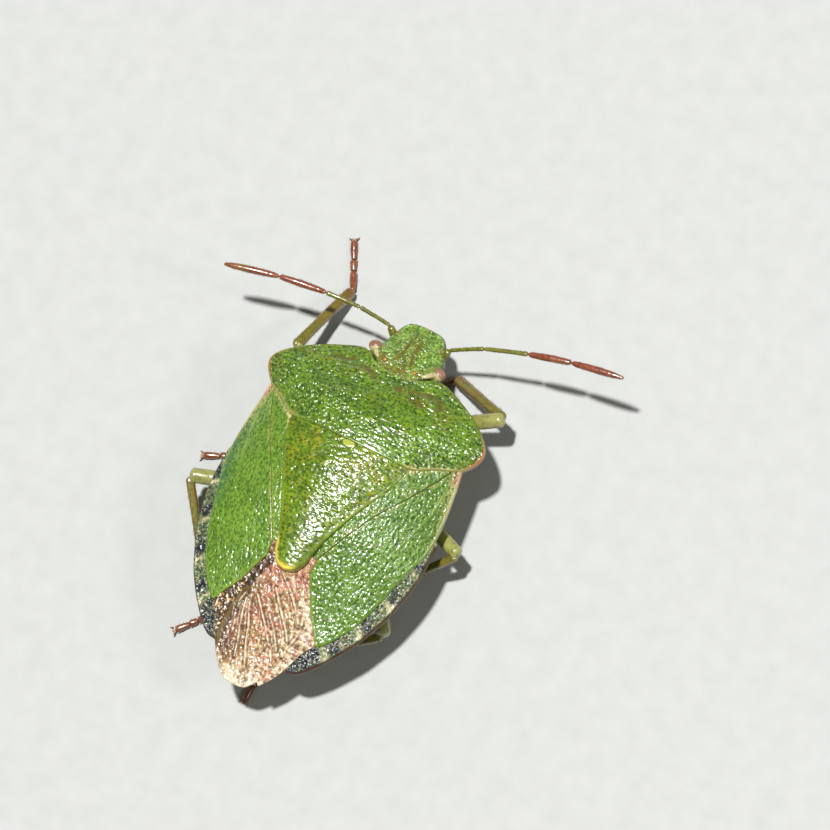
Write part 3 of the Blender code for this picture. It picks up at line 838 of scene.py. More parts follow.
clavus_half = joined([[(1.96, 4.68), (2.42, 4.44), (2.8, 4.18), (3.08, 4.0)],
                      moved(SUTURE, -SEAM), moved(SCUTELLUM_SIDE, -UNDERLAP)[::-1]], FINE)
corium_half = joined([[(3.44, 3.9), (3.3, 3.86), (3.13, 3.98)], moved(SUTURE, SEAM),
                      WING_TIP_EDGE[::-1], COSTA[::-1]], FINE)
suture_line = smooth_line(SUTURE, FINE)
costa_line = smooth_line(COSTA, FINE)
tip_edge_line = smooth_line(WING_TIP_EDGE, FINE)
VEINS = [[(3.28, 4.35), (3.3, 4.9), (3.22, 5.7), (3.0, 6.6), (2.72, 7.6), (2.4, 8.6)],
         [(3.1, 4.5), (2.78, 5.5), (2.36, 6.7), (2.06, 7.9), (1.92, 9.2), (1.9, 10.2)]]
vein_lines = [smooth_line(vein, FINE) for vein in VEINS]
STREAK_TURN = math.atan2(6.3, -1.7)
FOLD_TURN = {1: STREAK_TURN, -1: math.pi / 2}
FOLD_RUN = {1: 0.11, -1: 0.14}


def sided(half, side):
    """A half outline laid on the left, 1, or the right, -1."""
    return counterclockwise(half * (side, 1))


print("streaks run at", round(math.degrees(STREAK_TURN)), "degrees to the x axis")


# %% Relief of the clavus
WING_ROOT = smooth_line([(2.42, 4.56), (2.2, 4.74), (2.1, 4.9), (2.02, 5.15)], FINE)
WING_BEADS = {1: 0.004, -1: 0.008}
# WING_SHADE and SUTURE_SHADE are painted shade: the right wing is darkened all over, and both
# wings in the crease of the seam, the right one more.
WING_SHADE = {1: 0.0, -1: 0.2}
SUTURE_SHADE = {1: 0.35, -1: 0.8}
SEAM_PALE = {1: 0.25, -1: 0.4}


def root_pale(left):
    """The pale cord along the wing root and the pale band just behind the pronotum's rim."""
    behind_rim = bell(rim_depth(left, pronotum_outline) + 0.06, 0.05)
    return 0.6 * bell(nearest(left, WING_ROOT)[0], 0.045) + 0.5 * behind_rim


def clavus_relief(side):
    """The face of the narrow plate beside the scutellum."""
    def top(points, depth):
        x, s = points.T
        left = points * (side, 1)
        to_suture, _ = nearest(left, suture_line)
        kept = ease(0.0, 0.04, depth)
        pit, lip = pit_field(left, kept, ((0.5, 3.9), (3.4, 8.7)), 0.12, 21, 0.042,
                             STREAK_TURN, rows=1.2, long=1.4)
        wrinkle = wrinkled(left, FOLD_RUN[side], 0.055, 23, FOLD_TURN[side]) * kept
        seam = bell(to_suture - 0.05, 0.045) * ease(-0.7, 0.3, drift(points, 0.25, 25))
        crease = bell(to_suture, 0.022)
        streaks = 0.0105 + 0.009 * (side < 0)
        z = (back(x, s) - 0.006 * pit + 0.002 * lip + streaks * wrinkle
             + 0.014 * drift(points, 0.35, 22) + WING_BEADS[side] * drift(points, 0.055, 26) * kept
             - rolled(depth, 0.02, 0.007)
             - tucked(points, pronotum_outline) - tucked(points, scutellum_outline))
        return z, {
            # Wrinkle troughs and the seam's crease are darkened as painted shade, and WING_SHADE
            # darkens the right wing as painted shade.
            "pit": (pit - 0.7 * np.minimum(wrinkle, 0) + SUTURE_SHADE[side] * crease
                    + WING_SHADE[side]),
            "gold": 0.4 * seam + 0.3 * ease(0.0, 0.8, drift(points, 0.2, 24)),
            "pale": root_pale(left) + SEAM_PALE[side] * seam,
            "matte": 0.8 * crease,
        }
    return top


try_out(clavus_relief(1), sided(clavus_half, 1))


# %% Relief of the corium
def corium_relief(side):
    """The face of the broad outer plate, with its veins and front cord."""
    def top(points, depth):
        x, s = points.T
        left = points * (side, 1)
        to_costa, _ = nearest(left, costa_line)
        to_suture, _ = nearest(left, suture_line)
        to_tip, _ = nearest(left, tip_edge_line)
        to_vein = [nearest(left, line)[0] for line in vein_lines]
        broken = ease(-0.7, 0.3, drift(points, 0.25, 36))
        outer_vein = bell(to_vein[0], 0.035) * ease(8.2, 6.8, s) * broken
        inner_vein = bell(to_vein[1], 0.045) * broken
        smooth = np.clip(bell(to_vein[0], 0.045) * ease(7.6, 6.6, s) + 0.4 * inner_vein, 0, 1)
        kept = ((1 - smooth) * ease(0.04, 0.09, to_costa) * ease(0.0, 0.04, to_suture)
                * ease(0.03, 0.09, to_tip))
        pit, lip = pit_field(left, kept, ((0.6, 3.7), (3.8, 11.0)), 0.118, 31, 0.042,
                             STREAK_TURN, rows=1.25, long=1.5)
        wrinkle = wrinkled(left, FOLD_RUN[side], 0.055, 35, FOLD_TURN[side]) * kept
        cord = bell(to_costa - 0.025, 0.022) * ease(7.4, 6.4, s)
        seam = bell(to_suture - 0.05, 0.04) * broken
        streaks = 0.0105 + (0.004 + 0.012 * ease(8.0, 5.5, s)) * (side < 0)
        z = (back(x, s) - 0.006 * pit + 0.002 * lip + streaks * wrinkle
             + 0.016 * drift(points, 0.4, 32) + 0.02 * outer_vein + 0.01 * inner_vein
             + WING_BEADS[side] * drift(points, 0.055, 37) * kept * (0.9 + 0.7 * ease(6.6, 5, s))
             + 0.005 * seam + 0.014 * cord
             - rolled(depth, 0.02, 0.007) - 0.04 * bell(to_costa, 0.02)
             - tucked(points, pronotum_outline))
        shoulder = ease(4.6, 4.25, s)
        return z, {
            # Wrinkle troughs and the seam's crease are darkened as painted shade, and WING_SHADE
            # darkens the right wing as painted shade.
            "pit": (pit - 0.7 * np.minimum(wrinkle, 0)
                    + SUTURE_SHADE[side] * bell(to_suture, 0.022) + WING_SHADE[side]),
            "gold": (0.5 * seam + 0.3 * outer_vein + 0.4 * bell(to_tip - 0.02, 0.05)
                     + 0.2 * ease(0.1, 0.9, drift(points, 0.2, 34))),
            "pale": (0.6 * cord * (1 - shoulder) + 0.2 * outer_vein * ease(6.8, 6.0, s)
                     + SEAM_PALE[side] * seam + 0.5 * root_pale(left)
                     + 0.85 * bell(to_costa, 0.17) * ease(5.9, 4.6, s) * (1 - 0.8 * shoulder)),
            # Along the left wing's front edge only, a teal tint is a painted bluish sheen.
            "dark": (0.65 * bell(to_costa - 0.16, 0.17) * ease(5.0, 5.6, s) * ease(8.6, 7.4, s)
                     * ease(-0.7, 0.3, drift(points, 0.12, 38)) * (side > 0)),
            "blush": bell(to_costa, 0.17) * (1.1 * shoulder + 0.15 * ease(6.9, 6.0, s)),
        }
    return top


try_out(corium_relief(1), sided(corium_half, 1))

# %% Build the wing plates
for label, side in SIDES.items():
    slab("clavus_plate_" + label, sided(clavus_half, side), clavus_relief(side),
         plate_underside(rim=0.16, middle=0.35), wing_shell, "shell_green", ["clavus_" + label])
    slab("corium_plate_" + label, sided(corium_half, side), corium_relief(side),
         plate_underside(rim=0.13, middle=0.35), wing_shell, "shell_green", ["corium_" + label])

# %% [markdown]
# ## Wing tips
#
# Behind the leathery part each forewing ends in a thin brown membrane with raised veins. The
# left one lies over the right one, and both slip under the scutellum's tip. Old wing tips are
# crinkled all over, and the crinkles catch the light as copper and cream sparkles.

# %% Outlines and veins of the membranes
MEMBRANE_SIDE = [(1.77, 10.95), (1.52, 11.3), (1.36, 11.7), (1.2, 12.02), (0.98, 12.38),
                 (0.7, 12.72), (0.4, 12.94), (0, 13)]
LAP_EDGE = [(-0.36, 9.2), (-0.75, 9.9), (-1.0, 10.7), (-1.02, 11.4), (-0.84, 12.1),
            (-0.6, 12.66)]
LOBE_ROOT = [(0.95, 8.6), (0.6, 8.3), (0, 8.25), (-0.55, 8.35), (-0.62, 8.8), (-0.36, 9.2)]


def flipped(line):
    """The same line on the other side of the body."""
    return [(-x, s) for x, s in line]


upper_membrane = counterclockwise(joined(
    [moved(WING_TIP_EDGE, 0.07, -0.05), LOBE_ROOT, LAP_EDGE,
     [LAP_EDGE[-1], (-0.32, 12.93), (0, 13)], MEMBRANE_SIDE[::-1]], FINE))
lower_membrane = counterclockwise(joined(
    [flipped(moved(WING_TIP_EDGE, 0.07, -0.05)[::-1]), flipped(MEMBRANE_SIDE[:6]),
     [(-0.6, 12.6), (-0.5, 12.1)],
     moved(LAP_EDGE, 0.3)[::-1], [(-0.2, 8.6), (-0.6, 8.3), (-0.95, 8.6)]], FINE))
FOLD_VEINS = [[(0.92, 10.3), (0.99, 10.62), (0.96, 10.94), (0.87, 11.24), (0.8, 11.6)],
              [(0.7, 10.3), (0.6, 10.68), (0.4, 11.15), (0.21, 11.74), (-0.06, 12.4)],
              [(0.52, 10.2), (0.25, 10.53), (-0.03, 10.86), (-0.35, 11.27), (-0.76, 11.87)],
              [(0.05, 9.8), (-0.26, 10.21), (-0.53, 10.53), (-0.8, 10.85), (-0.95, 11.1)],
              [(0.0, 9.34), (-0.41, 9.7), (-0.7, 10.0), (-0.92, 10.3)],
              [(0.82, 10.45), (0.76, 10.8), (0.66, 11.2), (0.52, 11.7), (0.4, 12.2)],
              [(-0.1, 10.6), (-0.5, 11.1), (-0.75, 11.5)]]
OUTER_FOLD = smooth_line([(1.0, 9.95), (1.06, 10.3), (1.18, 10.7), (1.26, 11.24), (1.25, 11.75),
                          (1.3, 11.95)], FINE)
upper_veins = all_lines(FOLD_VEINS, FINE)
lower_veins = all_lines([moved(flipped(vein), -0.2) for vein in FOLD_VEINS[:2]], FINE)
print(len(FOLD_VEINS), "veins on the upper membrane, two on the lower one")

# %% Paint for the membranes
wing_film = cuticle("wing_film", (0.16, 0.07, 0.022), (0.4, 0.23, 0.1), (0.17, 0.11, 0.02),
                    (0.07, 0.028, 0.012), dark=(0.03, 0.013, 0.005), blush=(0.42, 0.14, 0.09),
                    pale=(0.62, 0.52, 0.34), shine=0.3, clouds=1.6, coat_roughness=0.3,
                    coat=0.7)
print("the membrane paint is ready")


# %% Relief of the membranes
FAR = 9
FILM_THICKNESS = 0.05


def film(side, veins, over):
    """The two faces of a membrane that dips under the outlines it's given."""
    def dips(points):
        return np.max([tucked(points, cover, dip) for cover, dip in over], 0)

    def top(points, depth):
        x, s = points.T
        left = points * (side, 1)
        to_tip, _ = nearest(left, tip_edge_line)
        to_vein, _ = nearest(points, veins)
        crease = (wrinkled(points, 0.12, 0.07, 41, 1.9) + 0.9 * wrinkled(points, 0.075, 0.065, 43))
        to_fold, at_fold = nearest(left, OUTER_FOLD)
        outward = np.sign(left[:, 0] - OUTER_FOLD[at_fold, 0])
        beyond = outward * to_fold * (side > 0) - FAR * (side < 0)
        outer_cell = ease(-0.01, 0.03, beyond) * ease(11.95, 11.8, s)
        rim_band = ease(-0.26, -0.2, beyond + 0.05 * drift(points, 0.2, 50)) * ease(12.3, 11.9, s)
        rim_band = rim_band * (1 - outer_cell)
        # The strip beside the left corium's tip edge is painted dark: partly the membrane's dark
        # base, partly painted shade under that edge.
        strip = ease(0.36, 0.26, to_tip + 0.06 * drift(points, 0.15, 51)) * ease(8.7, 9.2, s)
        strip = strip * (side > 0) * (1 - outer_cell)
        calm = np.clip(rim_band + 0.4 * strip, 0, 1)
        rise = bell(to_vein, 0.028) * ease(-0.9, -0.4, drift(points, 0.22, 48)) * (1 - strip)
        edge_zone = bell(x + 1.25, 0.3) * ease(9.4, 9.8, s)
        ribs = drift(points / (0.3, 0.055), 1, 49)
        z = (back(x, s) + 0.02 * crease * (1 - 0.7 * calm) + 0.03 * drift(points, 0.5, 44)
             + 0.03 * rise - 0.022 * bell(to_vein - 0.065, 0.025) + 0.025 * ribs * edge_zone
             - 0.03 * outer_cell - rolled(depth, 0.02, 0.02) - dips(points))
        patch = bell(np.hypot((left[:, 0] - 0.85) / 0.22, (s - 11.95) / 0.28), 1) * (side > 0)
        tip = ease(12.25, 12.7, s + 0.15 * drift(points, 0.15, 57))
        inner = ease(-0.6, 0.9, -x) * ease(9.2, 9.7, s)
        motley = ease(0.05 - 0.3 * inner, 0.6, drift(points, 0.075, 45)) * (0.4 + 0.55 * inner)
        speckle = ease(0.35, 0.6, drift(points, 0.055, 52)) * outer_cell
        open_film = (1 - calm) * (1 - outer_cell)
        # vein_shade paints shade in the grooves just beside the veins.
        vein_shade = bell(to_vein - 0.065, 0.02) * ease(-0.6, 0.2, drift(points, 0.18, 58))
        return z, {
            # Crease troughs and rib troughs are darkened here as painted shade, and below, the rib
            # crests are painted pale as a painted highlight.
            "pit": (1.1 * vein_shade - 0.8 * np.minimum(crease, 0)
                    + 0.6 * edge_zone * ease(0.0, -0.6, ribs)) * (1 - outer_cell),
            "gold": 0.9 * rim_band + 0.5 * ease(0.1, 0.6, drift(points, 0.23, 46)),
            "blush": 0.75 * ease(-0.25, 0.45, drift(points, 0.3, 47)) * open_film + 0.5 * patch,
            "dark": (0.97 * strip * (1 - 0.25 * motley) + 0.6 * patch + 0.5 * rim_band
                     + 0.9 * outer_cell * (1 - speckle)
                     + 0.3 * ease(0.0, 0.8, left[:, 0]) * open_film * (side > 0)
                     + 0.45 * bell(beyond + 0.24, 0.05) * ease(12, 11.5, s)),
            "pale": (0.9 * rise * ease(0.1, 0.3, to_tip) + 0.8 * motley * open_film
                     + 0.75 * tip + 0.3 * bell(depth, 0.02) + 0.9 * speckle
                     + 0.7 * edge_zone * ease(-0.4, 0.4, ribs)),
        }

    def bottom(points, _):
        x, s = points.T
        return back(x, s) - FILM_THICKNESS - dips(points), {}
    return top, bottom


film_covers = [(sided(half, side), 0.14) for half in (corium_half, clavus_half)
               for side in SIDES.values()] + [(scutellum_outline, 0.16)]
try_out(film(1, upper_veins, film_covers)[0], upper_membrane)

# %% Build the membranes
slab("membrane_film_left", upper_membrane, *film(1, upper_veins, film_covers), wing_film,
     "wing_bronze", ["membrane_left"], low_step=0.06)
slab("membrane_film_right", lower_membrane,
     *film(-1, lower_veins, [*film_covers, (upper_membrane, 0.07)]), wing_film, "wing_bronze",
     ["membrane_right"], low_step=0.06)

# %% [markdown]
# ## Side rim of the abdomen
#
# Beside the folded wings the abdomen's edge shows as a narrow strip, the connexivum. It is
# made of five overlapping plates, bronze green and pitted, with a blue-black patch before each
# joint, a cream spot on the joint itself and a dull red hem.

# %% Outline and paint of the side rims
SIDE_MARGIN = [(3.74, 6.4), (3.76, 7.2), (3.7, 7.93), (3.56, 8.58), (3.38, 9.2), (3.13, 9.78),
               (2.88, 10.3), (2.52, 10.85), (2.17, 11.32), (1.84, 11.68), (1.58, 11.88),
               (1.3, 11.94)]
SIDE_JOINTS = [7.55, 8.85, 10.05, 11.15]
STRIP_UNDERLAP = 0.24
strip_half = joined([[(3.4, 6.25), (3.68, 6.2), (3.74, 6.4)], SIDE_MARGIN,
                     [(1.3, 11.94), (1.16, 11.7), (1.3, 11.3)],
                     moved(MEMBRANE_SIDE[:2][::-1], -STRIP_UNDERLAP),
                     moved(COSTA[3:][::-1], -STRIP_UNDERLAP)], FINE)
margin_line = smooth_line(SIDE_MARGIN, FINE)
margin_shell = cuticle("margin_shell", (0.015, 0.045, 0.018), (0.14, 0.2, 0.07),
                       (0.22, 0.15, 0.05), (0.01, 0.014, 0.012), dark=(0.004, 0.006, 0.016),
                       blush=(0.16, 0.035, 0.012), pale=(0.6, 0.53, 0.32), shine=0.3,
                       coat=0.8, coat_roughness=0.3)
print(len(SIDE_JOINTS) + 1, "plates to a side")


# %% Relief of the side rims
def strip_faces(side):
    """The two faces of a side rim."""
    def top(points, depth):
        x, s = points.T
        left = points * (side, 1)
        to_margin, near = nearest(left, margin_line)
        run = margin_line[near, 1] + 0.35 * (margin_line[near, 0] - left[:, 0])
        away = run[:, None] - SIDE_JOINTS
        joint = bell(np.abs(away).min(1), 0.035)
        spot = bell(np.abs(away).min(1) + 0.15 * to_margin, 0.1)
        before = (bell((away + 0.3) / 0.2, 1)).max(1) * ease(-0.9, 0.1, drift(points, 0.1, 56))
        last = ease(11.2, 11.35, run)
        kept = (1 - spot) * ease(0.0, 0.06, depth)
        pit, lip = pit_field(left, kept, ((1.0, 6.0), (3.9, 12.1)), 0.1, 51, 0.042)
        wrinkle = wrinkled(points, 0.1, 0.075, 52) * kept
        z = (back(x, s) - 0.04 - 0.018 * pit + 0.006 * lip + 0.03 * wrinkle - 0.035 * joint
             + 0.025 * bell(to_margin - 0.05, 0.04) - rolled(depth, 0.035, 0.05)
             - tucked(points, sided(corium_half, side), 0.15)
             - tucked(points, upper_membrane, 0.08) - tucked(points, lower_membrane, 0.08))
        hem = bell(to_margin, 0.035)
        motley = ease(0.3, 0.65, drift(points, 0.07, 53))
        shade = 0.95 * before + 0.8 * last + 0.3 * ease(0, 0.7, drift(points, 0.16, 54))
        return z, {
            # Wrinkle troughs are darkened as painted shade.
            "pit": pit - 0.9 * np.minimum(wrinkle, 0) + 0.5 * hem,
            "gold": 0.5 * motley,
            "dark": np.clip(shade, 0, 1) * (1 - spot) * (1 - 0.7 * hem),
            "blush": hem * (0.75 + 0.3 * last),
            "pale": np.clip(0.85 * spot * ease(-0.5, 0.2, drift(points, 0.08, 55)) + 0.3 * motley,
                            0, 1) * (1 - hem),
            "matte": hem,
        }

    def bottom(points, depth):
        x, s = points.T
        # The hidden wall is painted red-brown and matte, partly as painted shade.
        return back(x, s) - 0.24 - 0.1 * ease(0, 0.3, depth), {"blush": 0.5, "matte": 1.0}
    return top, bottom


try_out(strip_faces(1)[0], sided(strip_half, 1))

# %% Build the side rims
for label, side in SIDES.items():
    slab("side_rim_" + label, sided(strip_half, side), *strip_faces(side), margin_shell,
         "margin_bronze", ["connexivum_" + label], low_step=0.07)

# %% [markdown]
# ## Head
#
# The head is a flat shield with thin edges. Its middle lobe, the clypeus, runs back between two
# side lobes, with a brown furrow on either side. A smooth olive collar crosses the rear edge
# between the eyes, and it carries two small simple eyes, the ocelli.

# %% Outline and paint of the head
HEAD = [[(0, 0), (0.38, 0.01), (0.62, 0.1), (0.8, 0.32), (0.93, 0.62), (1.06, 0.98),
         (1.13, 1.3), (1.08, 1.5), (0.92, 1.74), (0.6, 1.93), (0, 2.0)]]
HEAD_FINE = 0.014
FURROW = [(0.2, 0.4), (0.16, 0.8), (0.19, 1.15), (0.28, 1.5)]
EYE_CENTRE = np.array([1.12, 1.3, 2.75])
EYE_RADII = np.array([0.24, 0.195, 0.2])
OCELLUS = (0.53, 1.66)
head_outline = counterclockwise(mirrored(joined(HEAD, HEAD_FINE)))
furrow_lines = all_lines([FURROW, flipped(FURROW)], HEAD_FINE)
head_shell = cuticle("head_shell", (0.045, 0.12, 0.006), (0.25, 0.415, 0.06),
                     (0.15, 0.125, 0.01), (0.024, 0.07, 0.003), dark=(0.016, 0.011, 0.003),
                     blush=(0.3, 0.13, 0.04), pale=(0.42, 0.37, 0.18), clouds=3.2)
CREAM_WEDGE = smooth_line([(1.1, 1.42), (1.0, 1.5), (0.9, 1.57), (0.81, 1.64)], 0.01)
print("the head is", round(float(np.ptp(head_outline[:, 0])), 2), "mm broad without its eyes")


# %% Relief of the head
def head_top(points, depth):
    """Lobes and furrows, the collar, the eyes' sockets, the cream wedge behind each and a painted
    shadow in the gap beyond it.
    """
    x, s = points.T
    to_furrow, _ = nearest(points, furrow_lines)
    furrow = (bell(to_furrow, 0.05) * ease(0.45, 0.75, s)
              * ease(-1.1, -0.3, drift(points, 0.12, 60)))
    clypeus = ease(0.17, 0.1, np.abs(x)) * ease(1.45, 1.1, s)
    to_eye = np.hypot((np.abs(x) - EYE_CENTRE[0]) / EYE_RADII[0],
                      (s - EYE_CENTRE[1]) / EYE_RADII[1])
    orbit = bell(to_eye - 1.15, 0.3)
    collar = ease(1.6, 1.75, s + 0.1 * np.abs(x))
    to_ocellus = np.hypot(np.abs(x) - OCELLUS[0], s - OCELLUS[1])
    kept = (1 - 0.4 * collar) * (1 - ease(0.3, 0.8, orbit)) * (1 - 0.9 * furrow)
    pit, lip = pit_field(points, kept, ((-1.2, 0), (1.2, 2)), 0.088, 61, 0.038, loose=0.5)
    wrinkle = wrinkled(points, 0.09, 0.078, 62) * kept
    half = np.column_stack([np.abs(x), s])
    to_wedge, at_wedge = nearest(half, CREAM_WEDGE)
    wedge = ease(1.25, 0.8, to_wedge / (0.135 - 0.095 * at_wedge / len(CREAM_WEDGE))
                 + 0.15 * drift(points, 0.07, 67))
    z = (back(x, s) + 0.03 * clypeus - 0.035 * furrow + 0.03 * orbit
         + 0.02 * bell(to_ocellus, 0.09) - 0.016 * pit + 0.006 * lip + 0.026 * wrinkle
         + 0.02 * drift(points, 0.3, 63)
         + (0.009 + 0.006 * ease(-0.2, 0.4, x)) * drift(points, 0.05, 69) * kept
         + 0.02 * bell(depth - 0.06, 0.04) * ease(1.0, 0.7, s) + 0.03 * bell(to_wedge, 0.08)
         - rolled(depth, 0.12, 0.1) * ease(1.8, 1.6, s) - tucked(points, pronotum_outline, 0.12))
    brown = drift(points, 0.1, 64)
    # gap paints a near-black shadow behind each eye, where the head's rear edge meets the
    # pronotum.
    gap = bell(rim_depth(points, pronotum_outline) + 0.04, 0.065) * ease(0.6, 0.85, np.abs(x))
    eye_patch = bell(np.hypot((np.abs(x) - 0.72) / 0.3, (s - 1.62) / 0.2), 1)
    return z, {
        # Wrinkle troughs are darkened as painted shade.
        "pit": (pit - 0.9 * np.minimum(wrinkle, 0)) * (1 - wedge),
        "gold": (0.3 * collar + furrow + 0.5 * bell(x, 0.35) * ease(0.2, 0.6, s)
                 + 0.3 * ease(0.0, 0.6, brown) + 0.6 * bell(to_ocellus, 0.1) + 0.5 * orbit
                 + 0.6 * eye_patch * ease(-0.4, 0.3, brown)),
        "dark": (gap + 0.6 * bell(to_furrow, 0.028) * ease(0.5, 0.8, s) * ease(-0.9, 0.0, brown)
                 + 0.3 * bell(to_ocellus - 0.09, 0.03)
                 + 0.35 * bell(depth, 0.045) * ease(1.1, 0.9, s)
                 + 0.5 * bell(s - 0.1 * np.abs(x) ** 2 - 1.93, 0.03)),
        "matte": gap + bell(depth, 0.03),
        "pale": wedge * (1 - gap),
        "blush": (0.6 * bell(np.hypot(np.abs(x) - 0.86, s - 0.5), 0.14)
                  + 0.35 * eye_patch * ease(0.1, 0.6, brown)),
    }


try_out(head_top, head_outline)


# %% Underside of the head, and the neck
def head_under(points, depth):
    """The cheeks curve in to a narrow throat, where two flanges hold the beak's root."""
    x, s = points.T
    curve = station(keel_line, s) + 0.45 * (1 - ease(0, 0.5, depth)) ** 2
    flange = 0.12 * bell(np.abs(x) - 0.27, 0.05) * ease(0.3, 0.5, s) * ease(1.5, 1.2, s)
    gutter = 0.1 * ease(0.24, 0.14, np.abs(x)) * ease(0.3, 0.5, s)
    z = np.minimum(curve, back(x, s) - 0.2 - 0.1 * ease(0, 0.1, depth)) - flange + gutter
    z += 0.012 * drift(points, 0.08, 66)
    return z, {"gold": 0.35 * ease(0, 0.7, drift(points, 0.2, 65)), "pale": 0.25}


neck_outline = counterclockwise(mirrored(joined(
    [[(0, 1.3), (0.85, 1.3), (1.22, 1.5), (1.4, 1.75), (1.3, 2.3), (0, 2.4)]], 0.04)))


def neck_top(points, _):
    """The skin between head and pronotum, painted dark as painted shade, which shows only in the
    corner behind the eye.
    """
    x, s = points.T
    return back(x, s) - 0.2 + 0.012 * wrinkled(points, 0.1, 0.07, 68), {"dark": 0.6}


try_out(head_under, head_outline)

# %% Build neck and head
slab("neck_skin", neck_outline, neck_top, plate_underside(rim=0.9, middle=0.9), head_shell,
     "shell_green", step=0.03)
slab("head_shield", head_outline, head_top, head_under, head_shell, "shell_green", ["head"],
     step=HEAD_FINE, low_step=0.045)

# %% [markdown]
# ## Eyes
#
# A compound eye is a dome of hundreds of tiny lenses. Here every lens is a real bulge: a fine
# sphere is raised by how near each point lies to the nearest lens centre. The eye is pink-brown
# above, with a cream rear rim. Each ocellus is a smooth amber bead.

# %% Paint for the eyes
eye_glaze = Paint("eye_glaze", coat_weight=0.35, coat_roughness=0.15)
eye_cloud = eye_glaze.noise(6, 3)
eye_colour = eye_glaze.ramp(eye_cloud, (0.4, (0.27, 0.12, 0.055)), (0.6, (0.47, 0.25, 0.16)))
eye_colour = eye_glaze.mix(eye_glaze.field("pit") * 0.6, eye_colour, (0.09, 0.04, 0.02))
eye_colour = eye_glaze.mix(eye_glaze.field("pale"), eye_colour, (0.42, 0.35, 0.16))
eye_paint = eye_glaze.finish(eye_colour, eye_glaze.field("pit") * 0.2 + 0.28, eye_cloud, 0.004)

bead = Paint("ocellus_amber", coat_weight=0.8, coat_roughness=0.05)
bead_cloud = bead.noise(12, 2)
bead_colour = bead.ramp(bead_cloud, (0.3, (0.27, 0.12, 0.012)), (0.7, (0.42, 0.22, 0.03)))
bead_paint = bead.finish(bead_colour, bead_cloud * 0.1 + 0.12, bead_cloud, 0.002)
print("eye paints are ready")


# %% Compound eyes and ocelli
LENS_RADIUS = 0.044
LENS_BULGE = 0.022
OCELLUS_RADII = (0.062, 0.055, 0.05)


def sphere(level):
    """Points and faces of a sphere of even triangles."""
    bm = bmesh.new()
    bmesh.ops.create_icosphere(bm, subdivisions=level, radius=1)
    points = np.array([tuple(v.co) for v in bm.verts])
    faces = [tuple(v.index for v in f.verts) for f in bm.faces]
    bm.free()
    return points, faces


eye_points, eye_faces = sphere(6)
lenses, _ = sphere(4)
to_lens, _ = nearest(eye_points, lenses)
lens_bulge = ease(LENS_RADIUS, 0.0, to_lens)
dome, dome_faces = sphere(4)
ripple = 1 + 0.015 * drift(dome[:, :2], 0.5, 71)[:, None]
ocellus_height = float(back(*np.array(OCELLUS))) + 0.02
for label, side in SIDES.items():
    places = eye_points * (1 + LENS_BULGE * lens_bulge)[:, None]
    rear = ease(0.15, 0.4, places[:, 1] - 0.45 * side * places[:, 0])
    places = places * EYE_RADII + EYE_CENTRE * (side, 1, 1)
    piece("compound_eye_" + label, places, eye_faces, eye_paint, ["eye_" + label],
          {"pit": ease(0.35, 0.0, lens_bulge), "pale": rear})
    seat = np.array([OCELLUS[0] * side, OCELLUS[1], ocellus_height])
    piece("ocellus_" + label, dome * ripple * OCELLUS_RADII + seat, dome_faces, bead_paint)

# %% [markdown]
# ## Trunk
#
# Under the plates the body is one pale green hull. Three pieces stand for the solid model's
# three: the fore thorax, the rear thorax and the abdomen. Their undersides carry what a turned
# specimen shows: sockets for the six hips, pleural seams, the scent gland's groove, belly
# segments with arched joints, and a breathing hole on the side of each.

# %% Outline, marks and paint of the trunk
CORE = [(0, 2.02), (0.9, 2.0), (1.5, 1.9), (2.1, 2.08), (2.75, 2.4), (3.2, 2.75), (3.5, 3.1),
        (3.46, 3.5), (3.3, 4), (3.4, 5), (3.5, 6.4), (3.56, 7.3), (3.38, 8.6), (2.98, 9.75),
        (2.38, 10.8), (1.7, 11.6), (0.9, 11.95), (0, 12.02)]
CUTS = [0, 3.62, 6.1, BODY_LENGTH]
HIPS = {"fore": (0.75, 2.9), "mid": (0.8, 4.6), "hind": (0.86, 6.0)}
BELLY_JOINTS = np.array([6.5, 7.6, 8.75, 9.85, 10.8, 11.45])
GLAND = smooth_line([(1.25, 5.62), (1.6, 5.5), (1.95, 5.42), (2.25, 5.5)], 0.03)
hip_places = np.array(list(HIPS.values()))
belly_shell = cuticle("belly_shell", (0.1, 0.175, 0.03), (0.2, 0.28, 0.07), (0.25, 0.24, 0.08),
                      (0.035, 0.065, 0.012), dark=(0.03, 0.022, 0.008), pale=(0.45, 0.43, 0.22),
                      shine=0.26, clouds=0.7)
core_half = smooth_line(CORE, 0.05)
core_outline = counterclockwise(mirrored(core_half))
print(len(HIPS), "pairs of hips,", len(BELLY_JOINTS), "belly joints")


# %% Sockets, seams and belly segments
BELLY_RIM_DROP = 0.75
BELLY_ROUNDNESS = 1.4


def belly(x, s):
    """Height of the insect's underside."""
    keel = station(keel_line, s)
    rim = station(edge_line, s) - BELLY_RIM_DROP
    return keel + np.maximum(0, rim - keel) * across(x, s) ** BELLY_ROUNDNESS


